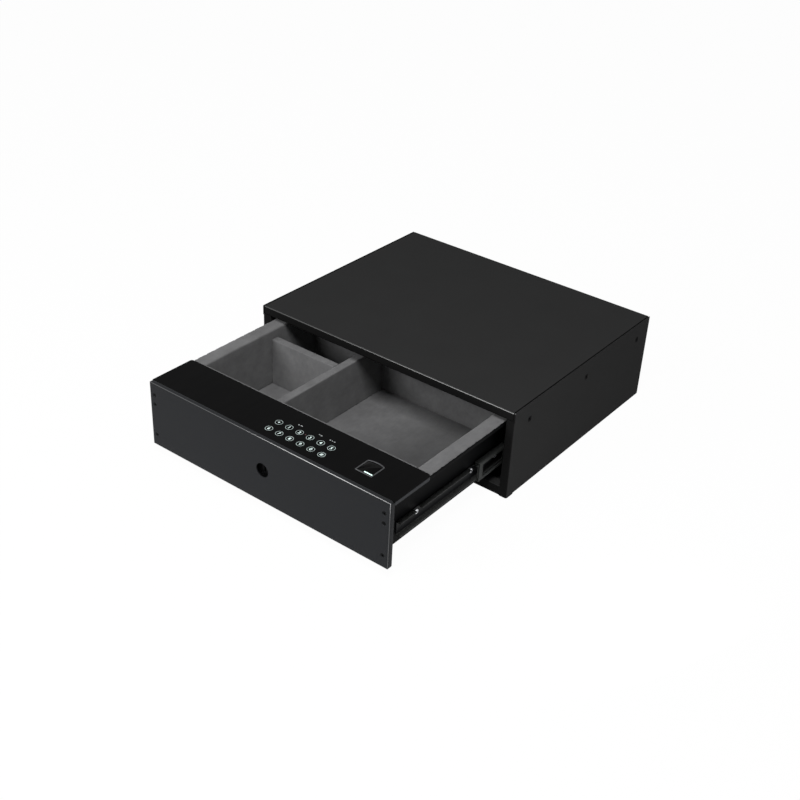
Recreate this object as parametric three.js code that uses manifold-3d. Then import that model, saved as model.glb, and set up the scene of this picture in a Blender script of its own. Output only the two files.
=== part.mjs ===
// Under desk drawer safe: a folded steel case and a felt lined drawer on ball bearing slides.
// Millimetres. X runs across the front, Y from the front to the back, Z up.
// The pieces are placed from the case's front bottom edge, and the finished group has its origin
// at the centre of the case's underside. The drawer stands open, as it is used.
import * as THREE from "three";
import { mergeVertices } from "three/addons/utils/BufferGeometryUtils.js";
import Module from "manifold-3d";

const wasm = await Module();
wasm.setup();

// Case
const CASE_WIDTH = 400;
const CASE_DEPTH = 327;
const CASE_HEIGHT = 121.5;
const CASE_SHEET = 1.5;
const JAMB_WIDTH = 12;
const LIP_HEIGHT = 12.2;
const SILL_HEIGHT = 13;
const RETURN_DEPTH = 14;
const COVER_FLANGE_HEIGHT = 34;
const COVER_GAP = 0.8;
const BACK_FLANGE = 12;
const ANCHOR_RADIUS = 4;
const ANCHOR_INSET_X = 50;
const ANCHOR_INSET_Y = 58.5;

// Fits
const BEND_RADIUS = 0.6;
const SEAT_GAP = 0.3;
const PANEL_GAP = 2;
const PANEL_GAP_TOP = 4.2;
const PANEL_GAP_BOTTOM = 2;
const FLOOR_CLEARANCE = 8.5;
const RAIL_GAP = 3.8;
const RAIL_DROP = 3.1;
const SCREW_SEAT = 0.1;
const OVERRUN = 1;
const OVERLAP = 1;

// Telescopic slides
const SLIDE_LENGTH = 250;
const SLIDE_FRONT = 34.5;
const SLIDE_THICKNESS = 12.7;
const SLIDE_CENTRE = 43.9;
const SLIDE_SHEET = 1.2;
const OUTER_HEIGHT = 35;
const MIDDLE_HEIGHT = 26.4;
const INNER_HEIGHT = 19;
const OUTER_WIDTH = 9.7;
const MIDDLE_WEB = 9.4;
const MIDDLE_WIDTH = 7.2;
const INNER_WIDTH = 7;
const CAGE_SHEET = 0.5;
const OUTER_CAGE_LENGTH = 120;
const OUTER_CAGE_FRONT = 100;
const INNER_CAGE_LENGTH = 60;
const INNER_CAGE_FRONT = 122;
const OUTER_CAGE_SETBACK = 1;
const INNER_CAGE_SETBACK = 0.4;
const BALL_CLEARANCE = 0.25;
const BALLS_IN_ROW = 4;
const MIDDLE_SHARE = 0.304;
const MIDDLE_WINDOW = { setback: 7, length: 52, height: 17 };
const BRACKET_LIP = 9.5;
const BRACKET_SETBACK = 10;
const SLIDE_SCREW_PLACES = [35, 141, 191];
const SLIDE_SCREW_RISES = [4.2, 4.2, 0];
const SLIDE_SCREW_HEAD = 3.4;
const SLIDE_SCREW_HEAD_HEIGHT = 1.8;
const SLIDE_SCREW_CROWN = 1;
const ACCESS_NOTCH = 10;

// Drawer
const DRAWER_OPEN = 213.5;
const PANEL_SHEET = 1.5;
const PANEL_RETURN = 7.3;
const PANEL_TOP_FLANGE = 5.5;
const PANEL_EDGE_RADIUS = 2.4;
const TRAY_SHEET = 1.2;
const TRAY_LENGTH = 281;
const TRAY_RAIL_WIDTH = 17.4;
const TRAY_RAIL_LIP = 5.2;
const TRAY_EAR_LOW = 25;
const BULKHEAD_FOOT = 10;
const FELT = 1.3;
const RAIL_FELT_OVERHANG = 0.5;
const DIVIDER_WIDTH = 12;
const CROSS_DIVIDER_WIDTH = 11;
const DIVIDER_HEIGHT = 67;
const LONG_DIVIDER_X = -52.7;
const CROSS_DIVIDER_Y = 192.7;
const DIVIDER_EDGE = 2.5;

// Control deck
const DECK_DEPTH = 70.8;
const DECK_SKIRT = 4.5;
const DECK_SHEET = 1.5;
const DECK_CORNER = 3;
const GLASS = 2;
const KEYS_ACROSS = 6;
const KEY_ROWS = 2;
const KEY_PITCH_X = 15.9;
const KEY_PITCH_Y = 16.9;
const KEY_RADIUS = 5;
const FIRST_KEY_X = -8;
const FIRST_KEY_Y = 20.7;
const KEY_MARGIN = 8;
const GUIDE_PLATE = 1.5;
const BOARD = 1.6;
const BOARD_DROP = 3.5;
const BOARD_MARGIN_X = 34;
const BOARD_MARGIN_Y = 8;
const PILLAR_RADIUS = 2.5;
const PILLAR_INSET = 4;
const PROCESSOR = { fromLeft: 20, width: 12, depth: 12, drop: 1.4 };
const RELAY = { fromLeft: 44, width: 15, depth: 10, drop: 7 };
const SOCKET = { fromRight: 4, fromFront: 4, width: 12, depth: 6, drop: 6 };
const BUZZER = { fromRight: 14, fromBack: 12, radius: 6, drop: 5.5 };
const READER_X = 128.6;
const READER_Y = 36.8;
const READER_WIDTH = 24.2;
const READER_DEPTH = 26.3;
const READER_BULGE = 2.6;
const READER_RIM = 1.8;
const READER_PROUD = 0.5;
const READER_BODY = 9;
const READER_CORNER = 1.2;

// Key lock and bolt
const LOCK_Z = 61;
const KEY_PORT_RADIUS = 9.3;
const LOCK_FACE_DEPTH = 3.4;
const LOCK_FLANGE = 2;
const LOCK_FLANGE_RADIUS = 12;
const LOCK_BODY_RADIUS = 10;
const LOCK_LENGTH = 24;
const PLUG_RADIUS = 6;
const TAIL_RADIUS = 3;
const RUNNING_GAP = 0.3;
const KEYWAY_WIDTH = 2.2;
const KEYWAY_HEIGHT = 8.4;
const KEYWAY_DEPTH = 14;
const BOLT_TRAVEL = 12;
const BOLT_SHEET = 2;
const BOLT_Y = 30;
const BOLT_TONGUE_WIDTH = 22;
const BOLT_BAR_WIDTH = 62;
const BOLT_BAR_HEIGHT = 21;
const CRANK_PEG_RADIUS = 1.9;
const CRANK_PEG_WALL = 1;
const CRANK_HUB_RADIUS = 5.2;
const CRANK_SHEET = 2;
const YOKE_CLEARANCE = 0.45;
const MOTOR_X = -30;
const MOTOR_CAN_RADIUS = 9.5;
const MOTOR_CAN_LENGTH = 13;
const GEARBOX_SIZE = 24;
const GEARBOX_LENGTH = 13;
const SHAFT_RADIUS = 1.5;
const SHAFT_HOLE_RADIUS = 3;
const CHASSIS_SHEET = 1.2;
const CHASSIS_DROP = 1.7;
const CHASSIS_FOOT = 16;
const GUIDE_WALL = 1.6;
const GUIDE_LIP = 5;
const BOLT_CLEARANCE = 0.6;
const STRIKE_SHEET = 2;
const STRIKE_SPAN = 18;
const STRIKE_FOOT = 10;
const STRIKE_HEIGHT = 14.2;
const STRIKE_WIDTH = 56;

// Battery bay
const CELL_RADIUS = 7.25;
const CELL_LENGTH = 50.5;
const CELL_TIP_RADIUS = 2.7;
const CELL_TIP_LENGTH = 1.4;
const CELL_PITCH = 15.5;
const CELL_GAP = 0.6;
const CELLS = 4;
const CONTACT_ROOM = 1.5;
const BAY_WALL = 1.5;
const BAY_INSET = 76.2;
const BAY_Z = 28.5;
const DOOR_THICKNESS = 2;
const DOOR_AXLE_RADIUS = 0.8;
const DOOR_GRIP = 1.5;
const DOOR_GRIP_WIDTH = 12;
const DOOR_GRIP_HEIGHT = 3;
const DOOR_GRIP_RISE = 3;

// Screws
const COVER_SCREW_PLACES = [34.5, 165.8, 297];
const COVER_SCREW_DROP = 22.9;
const SCREW_RADIUS = 1.7;
const SCREW_HEAD_RADIUS = 3.1;
const SCREW_LENGTH = 7;
const DRIVE_RADIUS = 1.2;
const DRIVE_DEPTH = 1.2;
const PANEL_SCREW_INSET = 8.2;
const PANEL_SCREW_RISE = 16.4;
const PANEL_SCREW_DROPS = [16.8, 30.1];

// Facets
const BEND_STEPS = 2;
const ROUND_SIDES = 16;
const SCREW_SIDES = 10;
const PORT_SIDES = 24;
const BALL_SIDES = 6;
const BOW_STEPS = 6;

// Places worked out from the sizes
const SIDES = [-1, 1];
const caseHalf = CASE_WIDTH / 2;
const wallInside = caseHalf - CASE_SHEET;
const coverHalf = wallInside - SEAT_GAP;
const openingHalf = caseHalf - JAMB_WIDTH;
const openingTop = CASE_HEIGHT - LIP_HEIGHT;
const panelHalf = openingHalf - PANEL_GAP;
const panelTop = openingTop - PANEL_GAP_TOP;
const panelBottom = SILL_HEIGHT + PANEL_GAP_BOTTOM;
const upperScrews = PANEL_SCREW_DROPS.map((drop) => panelTop - drop);
const panelScrewHeights = [panelBottom + PANEL_SCREW_RISE, ...upperScrews];
const trayBottom = SILL_HEIGHT + FLOOR_CLEARANCE;
const trayFloor = trayBottom + TRAY_SHEET;
const trayRailTop = panelTop - RAIL_DROP;
const feltTop = trayRailTop + SEAT_GAP + FELT;
const railOuter = openingHalf - RAIL_GAP;
const webOuter = railOuter - TRAY_RAIL_WIDTH + TRAY_SHEET;
const webInner = webOuter - TRAY_SHEET;
const trayFront = PANEL_SHEET + SEAT_GAP;
const trayBack = trayFront + TRAY_LENGTH;
const slideInside = webOuter + SEAT_GAP;
const slideOutside = slideInside + SLIDE_THICKNESS;
const slideScrewPlaces = SLIDE_SCREW_PLACES.map((place, i) => [
  SLIDE_FRONT + place,
  SLIDE_CENTRE + SLIDE_SCREW_RISES[i],
]);
const screwHole = SCREW_RADIUS + SEAT_GAP;
const deckFront = PANEL_RETURN + SEAT_GAP;
const deckTop = panelTop - GLASS - SEAT_GAP;
const deckBottom = deckTop - DECK_SKIRT;
const boardTop = deckTop - BOARD_DROP;
const bulkheadFront = DECK_DEPTH + SEAT_GAP;
const bulkheadBack = bulkheadFront + TRAY_SHEET;
const frontFelt = bulkheadBack + SEAT_GAP;
const storeFront = frontFelt + FELT;
const backFelt = trayBack - TRAY_SHEET - SEAT_GAP;
const storeBack = backFelt - FELT;
const floorFelt = trayFloor + SEAT_GAP;
const storeFloor = floorFelt + FELT;
const storeHalf = webInner - SEAT_GAP - FELT;
const bayX = storeHalf - BAY_INSET;
const boltBack = BOLT_Y + BOLT_SHEET;
const crankRadius = BOLT_TRAVEL / 2 / Math.sin(Math.PI / 4);
const chassisFront = boltBack + SEAT_GAP + CRANK_SHEET + 2 * SEAT_GAP;
const chassisMiddle = chassisFront + CHASSIS_SHEET / 2;
const chassisBack = chassisFront + CHASSIS_SHEET;
const boltBarCentre = MOTOR_X / 2;
const bayHalf = CELL_LENGTH / 2 + CONTACT_ROOM + BAY_WALL;
const bayHeight = CELL_PITCH + 2 * (CELL_RADIUS + CELL_GAP + BAY_WALL);
const bayTop = BAY_Z + bayHeight;

// Finishes
const finish = (color, roughness, metalness) =>
  new THREE.MeshStandardMaterial({ color, roughness, metalness });
const SATIN_BLACK = finish(0x2e2f31, 0.55, 0.2);
const GLOSS_BLACK = finish(0x141416, 0.12, 0);
const GREY_FELT = finish(0x6b6b6c, 1, 0);
const BLACK_STEEL = finish(0x26282b, 0.4, 0.7);
const ZINC = finish(0xb9bcc0, 0.3, 0.9);
const BLACK_SCREW = finish(0x1b1b1c, 0.4, 0.8);
const CIRCUIT = finish(0x1f5a3a, 0.6, 0);
const WHITE_PLASTIC = finish(0xd8ecea, 0.5, 0);
const BLACK_PLASTIC = finish(0x1d1d1f, 0.6, 0);
const CELL_SLEEVE = finish(0x3a5f8a, 0.4, 0.2);

// A closed geometry as a solid that can be joined and cut.
function solid(geometry) {
  const bare = new THREE.BufferGeometry();
  bare.setAttribute("position", geometry.getAttribute("position"));
  bare.setIndex(geometry.index);
  const merged = mergeVertices(bare, 1e-4);
  const corners = merged.index.array;
  const triangles = [];
  for (let i = 0; i < corners.length; i += 3) {
    const [a, b, c] = [corners[i], corners[i + 1], corners[i + 2]];
    if (a !== b && b !== c && c !== a) triangles.push(a, b, c);
  }
  return new wasm.Manifold(
    new wasm.Mesh({
      numProp: 3,
      vertProperties: new Float32Array(merged.getAttribute("position").array),
      triVerts: new Uint32Array(triangles),
    }),
  );
}

const join = (...solids) => solids.flat().reduce((whole, piece) => whole.add(piece));
const cut = (body, ...tools) => tools.flat().reduce((rest, tool) => rest.subtract(tool), body);
const common = (...solids) => solids.reduce((whole, piece) => whole.intersect(piece));

function add(group, name, body, material) {
  const { vertProperties, triVerts } = body.getMesh();
  const geometry = new THREE.BufferGeometry();
  geometry.setAttribute("position", new THREE.BufferAttribute(new Float32Array(vertProperties), 3));
  geometry.setIndex(new THREE.BufferAttribute(new Uint32Array(triVerts), 1));
  geometry.computeVertexNormals();
  const mesh = new THREE.Mesh(geometry, material);
  mesh.name = name;
  group.add(mesh);
  return mesh;
}

// Turns a geometry made along +Z so that it runs along the named axis.
// The outline's two directions become (y, z) for x, (x, z) for y and (x, y) for z.
function along(axis, geometry) {
  if (axis === "x") {
    const turn = new THREE.Matrix4().makeBasis(
      new THREE.Vector3(0, 1, 0),
      new THREE.Vector3(0, 0, 1),
      new THREE.Vector3(1, 0, 0),
    );
    return geometry.applyMatrix4(turn);
  }
  return axis === "y" ? geometry.rotateX(Math.PI / 2) : geometry;
}

// An outline carried straight along an axis between two places, given in either order.
function prism(axis, outline, from, to) {
  const [low, high] = from < to ? [from, to] : [to, from];
  const shape = new THREE.Shape(outline.map(([u, v]) => new THREE.Vector2(u, v)));
  const geometry = new THREE.ExtrudeGeometry(shape, { depth: high - low, bevelEnabled: false });
  geometry.translate(0, 0, axis === "y" ? -high : low);
  return solid(along(axis, geometry));
}

// A box between two places on each axis, given in either order.
function block([x0, x1], [y0, y1], [z0, z1]) {
  const geometry = new THREE.BoxGeometry(Math.abs(x1 - x0), Math.abs(y1 - y0), Math.abs(z1 - z0));
  return solid(geometry.translate((x0 + x1) / 2, (y0 + y1) / 2, (z0 + z1) / 2));
}

function circle([u, v], radius, sides = ROUND_SIDES) {
  const outline = [];
  for (let i = 0; i < sides; i += 1) {
    const angle = ((i + 0.5) * 2 * Math.PI) / sides;
    outline.push([u + radius * Math.cos(angle), v + radius * Math.sin(angle)]);
  }
  return outline;
}

const bar = (axis, centre, radius, from, to, sides) =>
  prism(axis, circle(centre, radius, sides), from, to);

// A round piece turned about a line along the axis, or about its mirror image where the side is -1.
// The profile gives [radius, place on the axis] from the low end of its outside to the high end.
function turned(axis, [u, v], sides, side, profile) {
  const points = profile.map(([radius, place]) => new THREE.Vector2(radius, place));
  const geometry = new THREE.LatheGeometry(points, sides);
  if (axis === "x") geometry.rotateZ((-side * Math.PI) / 2);
  if (axis === "z") geometry.rotateX((side * Math.PI) / 2);
  const [x, y, z] = { x: [0, u, v], y: [u, 0, v], z: [u, v, 0] }[axis];
  return solid(geometry.translate(x, y, z));
}

const turn = ([ax, ay], [bx, by]) => ax * by - ay * bx;

function direction([ax, ay], [bx, by]) {
  const length = Math.hypot(bx - ax, by - ay);
  return [(bx - ax) / length, (by - ay) / length];
}

// The points of a corner rounded to a radius, or the corner itself where the radius is nought.
function roundedCorner(before, corner, after, radius) {
  const arriving = direction(before, corner);
  const leaving = direction(corner, after);
  const side = Math.sign(turn(arriving, leaving));
  if (radius <= 0 || side === 0) return [corner];
  const angle = Math.acos(arriving[0] * leaving[0] + arriving[1] * leaving[1]);
  const reach = radius * Math.tan(angle / 2);
  const start = [corner[0] - arriving[0] * reach, corner[1] - arriving[1] * reach];
  const centre = [start[0] - side * arriving[1] * radius, start[1] + side * arriving[0] * radius];
  const spoke = [start[0] - centre[0], start[1] - centre[1]];
  const points = [];
  for (let step = 0; step <= BEND_STEPS; step += 1) {
    const a = (side * angle * step) / BEND_STEPS;
    points.push([
      centre[0] + spoke[0] * Math.cos(a) - spoke[1] * Math.sin(a),
      centre[1] + spoke[0] * Math.sin(a) + spoke[1] * Math.cos(a),
    ]);
  }
  return points;
}

// A closed outline with its own radius at each corner.
function roundedOutline(corners, radii) {
  const count = corners.length;
  return corners.flatMap((corner, i) =>
    roundedCorner(corners[(i + count - 1) % count], corner, corners[(i + 1) % count], radii[i]),
  );
}

// The outline of a folded sheet. The line is the sheet's right-hand face, the sheet lies to the
// left of it, and every fold has the same inside radius.
function foldedSheet(line, sheet) {
  const last = line.length - 1;
  const left = line.map((point, i) => {
    const a = direction(line[Math.max(i - 1, 0)], line[Math.max(i, 1)]);
    const b = direction(line[Math.min(i, last - 1)], line[Math.min(i + 1, last)]);
    const share = sheet / (1 + a[0] * b[0] + a[1] * b[1]);
    return [point[0] - (a[1] + b[1]) * share, point[1] + (a[0] + b[0]) * share];
  });
  const bend = (points, outward) =>
    points.flatMap((point, i) => {
      if (i === 0 || i === last) return [point];
      const before = points[i - 1];
      const after = points[i + 1];
      const leftTurn = turn(direction(before, point), direction(point, after)) > 0;
      const radius = BEND_RADIUS + (leftTurn === outward ? sheet : 0);
      return roundedCorner(before, point, after, radius);
    });
  return [...bend(line, true), ...bend(left, false).reverse()];
}

// A line on the right-hand side, or its mirror image, which runs the other way.
const mirrored = (line, side) => (side > 0 ? line : line.map(([u, v]) => [-u, v]).reverse());

const rectangle = ([u0, u1], [v0, v1]) => [
  [u0, v0],
  [u1, v0],
  [u1, v1],
  [u0, v1],
];

const inset = ([low, high], by) => [low + by, high - by];

// A block whose edges round its front face are rounded, as a folded and ground pan's are.
function frontRounded(x, y, z, radius) {
  return common(
    prism("z", roundedOutline(rectangle(x, y), [radius, radius, 0, 0]), ...z),
    prism("x", roundedOutline(rectangle(y, z), [radius, 0, 0, radius]), ...x),
    prism("y", roundedOutline(rectangle(x, z), [radius, radius, radius, radius]), ...y),
  );
}

// Case

const screwZ = CASE_HEIGHT - COVER_SCREW_DROP;

// Cutting cones for the countersunk screws of one side wall.
function countersinks(side) {
  const head = SCREW_HEAD_RADIUS + SEAT_GAP;
  return COVER_SCREW_PLACES.map((place) =>
    turned("x", [place, screwZ], SCREW_SIDES, side, [
      [0, wallInside - OVERRUN],
      [screwHole, wallInside - OVERRUN],
      [screwHole, wallInside],
      [head, caseHalf],
      [head, caseHalf + OVERRUN],
      [0, caseHalf + OVERRUN],
    ]),
  );
}

function caseBody() {
  const walls = [
    [-caseHalf, CASE_HEIGHT],
    [-caseHalf, 0],
    [caseHalf, 0],
    [caseHalf, CASE_HEIGHT],
  ];
  const sill = [
    [RETURN_DEPTH, SILL_HEIGHT],
    [0, SILL_HEIGHT],
    [0, 0],
    [RETURN_DEPTH, 0],
  ];
  const jamb = [
    [openingHalf, RETURN_DEPTH],
    [openingHalf, 0],
    [caseHalf, 0],
    [caseHalf, RETURN_DEPTH],
  ];
  const jambTop = openingTop - SEAT_GAP;
  const folded = [
    prism("y", foldedSheet(walls, CASE_SHEET), BEND_RADIUS + CASE_SHEET, CASE_DEPTH),
    prism("x", foldedSheet(sill, CASE_SHEET), -wallInside, wallInside),
    ...SIDES.map((side) => prism("z", foldedSheet(mirrored(jamb, side), CASE_SHEET), 0, jambTop)),
    ...SIDES.map((side) =>
      block([side * wallInside, side * caseHalf], [0, RETURN_DEPTH], [jambTop - OVERLAP, CASE_HEIGHT]),
    ),
  ];
  const anchors = SIDES.flatMap((side) =>
    [ANCHOR_INSET_Y, CASE_DEPTH - ANCHOR_INSET_Y].map((y) =>
      bar("z", [side * (caseHalf - ANCHOR_INSET_X), y], ANCHOR_RADIUS, -OVERRUN, CASE_SHEET + OVERRUN),
    ),
  );
  return cut(join(folded), anchors, SIDES.flatMap(countersinks));
}

const sideName = (side) => (side < 0 ? "left" : "right");

function topCover() {
  const coverEdge = wallInside - COVER_GAP;
  const line = [
    [CASE_DEPTH, CASE_HEIGHT],
    [0, CASE_HEIGHT],
    [0, openingTop],
    [RETURN_DEPTH, openingTop],
  ];
  const flangeEnds = [RETURN_DEPTH + CASE_SHEET, CASE_DEPTH - BACK_FLANGE - CASE_SHEET];
  const flangeHeights = [CASE_HEIGHT - COVER_FLANGE_HEIGHT, CASE_HEIGHT - CASE_SHEET / 2];
  const flanges = SIDES.map((side) =>
    block([side * (coverEdge - CASE_SHEET), side * coverEdge], flangeEnds, flangeHeights),
  );
  const holes = COVER_SCREW_PLACES.map((y) =>
    bar("x", [y, screwZ], screwHole, -caseHalf, caseHalf, SCREW_SIDES),
  );
  return cut(join(prism("x", foldedSheet(line, CASE_SHEET), -coverEdge, coverEdge), flanges), holes);
}

function caseBack() {
  const flangeFront = CASE_DEPTH - BACK_FLANGE;
  const line = [
    [coverHalf, flangeFront],
    [coverHalf, CASE_DEPTH],
    [-coverHalf, CASE_DEPTH],
    [-coverHalf, flangeFront],
  ];
  const low = CASE_SHEET + SEAT_GAP;
  return prism("z", foldedSheet(line, CASE_SHEET), low, CASE_HEIGHT - low);
}

// A countersunk screw of one side wall, with a round drive recess in its head.
function coverScrew(side, place) {
  return turned("x", [place, screwZ], SCREW_SIDES, side, [
    [0, caseHalf - SCREW_LENGTH],
    [SCREW_RADIUS, caseHalf - SCREW_LENGTH],
    [SCREW_RADIUS, wallInside],
    [SCREW_HEAD_RADIUS, caseHalf],
    [DRIVE_RADIUS, caseHalf],
    [DRIVE_RADIUS, caseHalf - DRIVE_DEPTH],
    [0, caseHalf - DRIVE_DEPTH],
  ]);
}

// The hat section between a side wall and its slide.
function slideBracket(side) {
  const web = slideOutside + SEAT_GAP + CASE_SHEET;
  const half = OUTER_HEIGHT / 2;
  const line = [
    [coverHalf, SLIDE_CENTRE - half - BRACKET_LIP],
    [coverHalf, SLIDE_CENTRE - half],
    [web, SLIDE_CENTRE - half],
    [web, SLIDE_CENTRE + half],
    [coverHalf, SLIDE_CENTRE + half],
    [coverHalf, SLIDE_CENTRE + half + BRACKET_LIP],
  ];
  const front = SLIDE_FRONT - BRACKET_SETBACK;
  const back = SLIDE_FRONT + SLIDE_LENGTH + BRACKET_SETBACK;
  return prism("y", foldedSheet(mirrored(line, side), CASE_SHEET), front, back);
}

// The raised bracket on the case floor that the bolt drops into.
function strikeBracket() {
  const middle = BOLT_Y + BOLT_SHEET / 2;
  const low = CASE_SHEET + SEAT_GAP;
  const under = low + STRIKE_HEIGHT - STRIKE_SHEET;
  const half = STRIKE_SPAN / 2;
  const line = [
    [middle - half - STRIKE_SHEET - STRIKE_FOOT, low],
    [middle - half, low],
    [middle - half, under],
    [middle + half, under],
    [middle + half, low],
    [middle + half + STRIKE_SHEET + STRIKE_FOOT, low],
  ];
  const bracket = prism("x", foldedSheet(line, STRIKE_SHEET), -STRIKE_WIDTH / 2, STRIKE_WIDTH / 2);
  return cut(bracket, boltSlot(under - OVERRUN, under + STRIKE_SHEET + OVERRUN));
}

// The clearance that the bolt's tongue needs, between two heights.
function boltSlot(low, high) {
  const half = BOLT_TONGUE_WIDTH / 2 + BOLT_CLEARANCE;
  return block([-half, half], [BOLT_Y - BOLT_CLEARANCE, boltBack + BOLT_CLEARANCE], [low, high]);
}

// Slides

// The section of a slide's channel, in (x, z), from the places of its open edge and its web, both
// measured from the slide's drawer side.
function channel(open, web, height, sheet, side) {
  const half = height / 2;
  const order = web > open ? 1 : -1;
  const line = [
    [slideInside + open, SLIDE_CENTRE - order * half],
    [slideInside + web, SLIDE_CENTRE - order * half],
    [slideInside + web, SLIDE_CENTRE + order * half],
    [slideInside + open, SLIDE_CENTRE + order * half],
  ];
  return foldedSheet(mirrored(line, side), sheet);
}

const slideEnds = [SLIDE_FRONT, SLIDE_FRONT + SLIDE_LENGTH];

function slideOuter(side) {
  const open = SLIDE_THICKNESS - OUTER_WIDTH;
  return prism("y", channel(open, SLIDE_THICKNESS, OUTER_HEIGHT, SLIDE_SHEET, side), ...slideEnds);
}

// The middle member, with a window near its front through which the inner member's screws are reached.
function slideMiddle(side) {
  const open = MIDDLE_WEB - MIDDLE_WIDTH;
  const rail = prism("y", channel(open, MIDDLE_WEB, MIDDLE_HEIGHT, SLIDE_SHEET, side), ...slideEnds);
  const { setback, length, height } = MIDDLE_WINDOW;
  const web = slideInside + MIDDLE_WEB;
  const front = SLIDE_FRONT + setback;
  const window = block(
    [side * (web - SLIDE_SHEET - OVERRUN), side * (web + OVERRUN)],
    [front, front + length],
    [SLIDE_CENTRE - height / 2, SLIDE_CENTRE + height / 2],
  );
  return cut(rail, window);
}

function slideInner(side) {
  const rail = prism("y", channel(INNER_WIDTH, 0, INNER_HEIGHT, SLIDE_SHEET, side), ...slideEnds);
  const top = SLIDE_CENTRE + INNER_HEIGHT / 2;
  const beyond = slideInside + INNER_WIDTH + OVERRUN;
  const notches = slideScrewPlaces.map(([y]) =>
    block(
      [side * (slideInside + SLIDE_SHEET), side * beyond],
      [y - ACCESS_NOTCH / 2, y + ACCESS_NOTCH / 2],
      [top - SLIDE_SHEET - BEND_RADIUS, top + OVERRUN],
    ),
  );
  return cut(rail, notches, slideScrewHoles());
}

// A ball cage between two slide members: a channel of thin strip with its balls.
function ballCage(side, { web, open, inside, outside, front, length }) {
  const row = (inside + outside) / 2;
  const height = 2 * row + CAGE_SHEET;
  const strip = prism("y", channel(open, web, height, CAGE_SHEET, side), front, front + length);
  const radius = (outside - inside) / 2 - BALL_CLEARANCE;
  const x = side * (slideInside + (open + web) / 2);
  const balls = [];
  for (let i = 0; i < BALLS_IN_ROW; i += 1) {
    const y = front + (length * (i + 0.5)) / BALLS_IN_ROW;
    for (const up of SIDES) {
      const ball = new THREE.SphereGeometry(radius, BALL_SIDES, BALL_SIDES);
      balls.push(solid(ball.translate(x, y, SLIDE_CENTRE + up * row)));
    }
  }
  return join(strip, balls);
}

const outerCage = {
  web: (MIDDLE_WEB + SLIDE_THICKNESS - SLIDE_SHEET + CAGE_SHEET) / 2,
  open: SLIDE_THICKNESS - OUTER_WIDTH + OUTER_CAGE_SETBACK,
  inside: MIDDLE_HEIGHT / 2,
  outside: OUTER_HEIGHT / 2 - SLIDE_SHEET,
  front: OUTER_CAGE_FRONT,
  length: OUTER_CAGE_LENGTH,
};

const innerCage = {
  web: (INNER_WIDTH + MIDDLE_WEB - SLIDE_SHEET + CAGE_SHEET) / 2,
  open: MIDDLE_WEB - MIDDLE_WIDTH + INNER_CAGE_SETBACK,
  inside: INNER_HEIGHT / 2,
  outside: MIDDLE_HEIGHT / 2 - SLIDE_SHEET,
  front: INNER_CAGE_FRONT,
  length: INNER_CAGE_LENGTH,
};

const slideScrewHoles = () =>
  slideScrewPlaces.map((place) =>
    bar("x", place, screwHole, -slideOutside, slideOutside, SCREW_SIDES),
  );

// A pan head screw that holds the slide's inner member on the tray.
function slideScrew(side, place) {
  const seat = slideInside + SLIDE_SHEET + SCREW_SEAT;
  const head = seat + SLIDE_SCREW_HEAD_HEIGHT;
  return turned("x", place, SCREW_SIDES, side, [
    [0, webInner],
    [SCREW_RADIUS, webInner],
    [SCREW_RADIUS, seat],
    [SLIDE_SCREW_HEAD, seat],
    [SLIDE_SCREW_HEAD, (seat + head) / 2],
    [SLIDE_SCREW_HEAD - SLIDE_SCREW_CROWN, head],
    [DRIVE_RADIUS, head],
    [DRIVE_RADIUS, head - DRIVE_DEPTH],
    [0, head - DRIVE_DEPTH],
  ]);
}

// Drawer

const panelScrewX = panelHalf - PANEL_SCREW_INSET;

function frontPanel() {
  const across = [-panelHalf, panelHalf];
  const heights = [panelBottom, panelTop];
  const inner = PANEL_EDGE_RADIUS - PANEL_SHEET;
  const hollow = [PANEL_SHEET, PANEL_RETURN + OVERRUN];
  const pan = cut(
    frontRounded(across, [0, PANEL_RETURN], heights, PANEL_EDGE_RADIUS),
    frontRounded(inset(across, PANEL_SHEET), hollow, inset(heights, PANEL_SHEET), inner),
    block(
      inset(across, -OVERRUN),
      [PANEL_TOP_FLANGE, PANEL_RETURN + OVERRUN],
      [panelTop - GLASS - SEAT_GAP, panelTop + OVERRUN],
    ),
  );
  const through = [-OVERRUN, PANEL_SHEET + OVERRUN];
  const port = bar("y", [0, LOCK_Z], KEY_PORT_RADIUS, ...through, PORT_SIDES);
  const head = SCREW_HEAD_RADIUS + SCREW_SEAT;
  const sinks = SIDES.flatMap((side) =>
    panelScrewHeights.map((z) =>
      turned("y", [side * panelScrewX, z], SCREW_SIDES, 1, [
        [0, through[0]],
        [head, through[0]],
        [head, 0],
        [screwHole, PANEL_SHEET],
        [screwHole, through[1]],
        [0, through[1]],
      ]),
    ),
  );
  return cut(pan, port, sinks);
}

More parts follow.
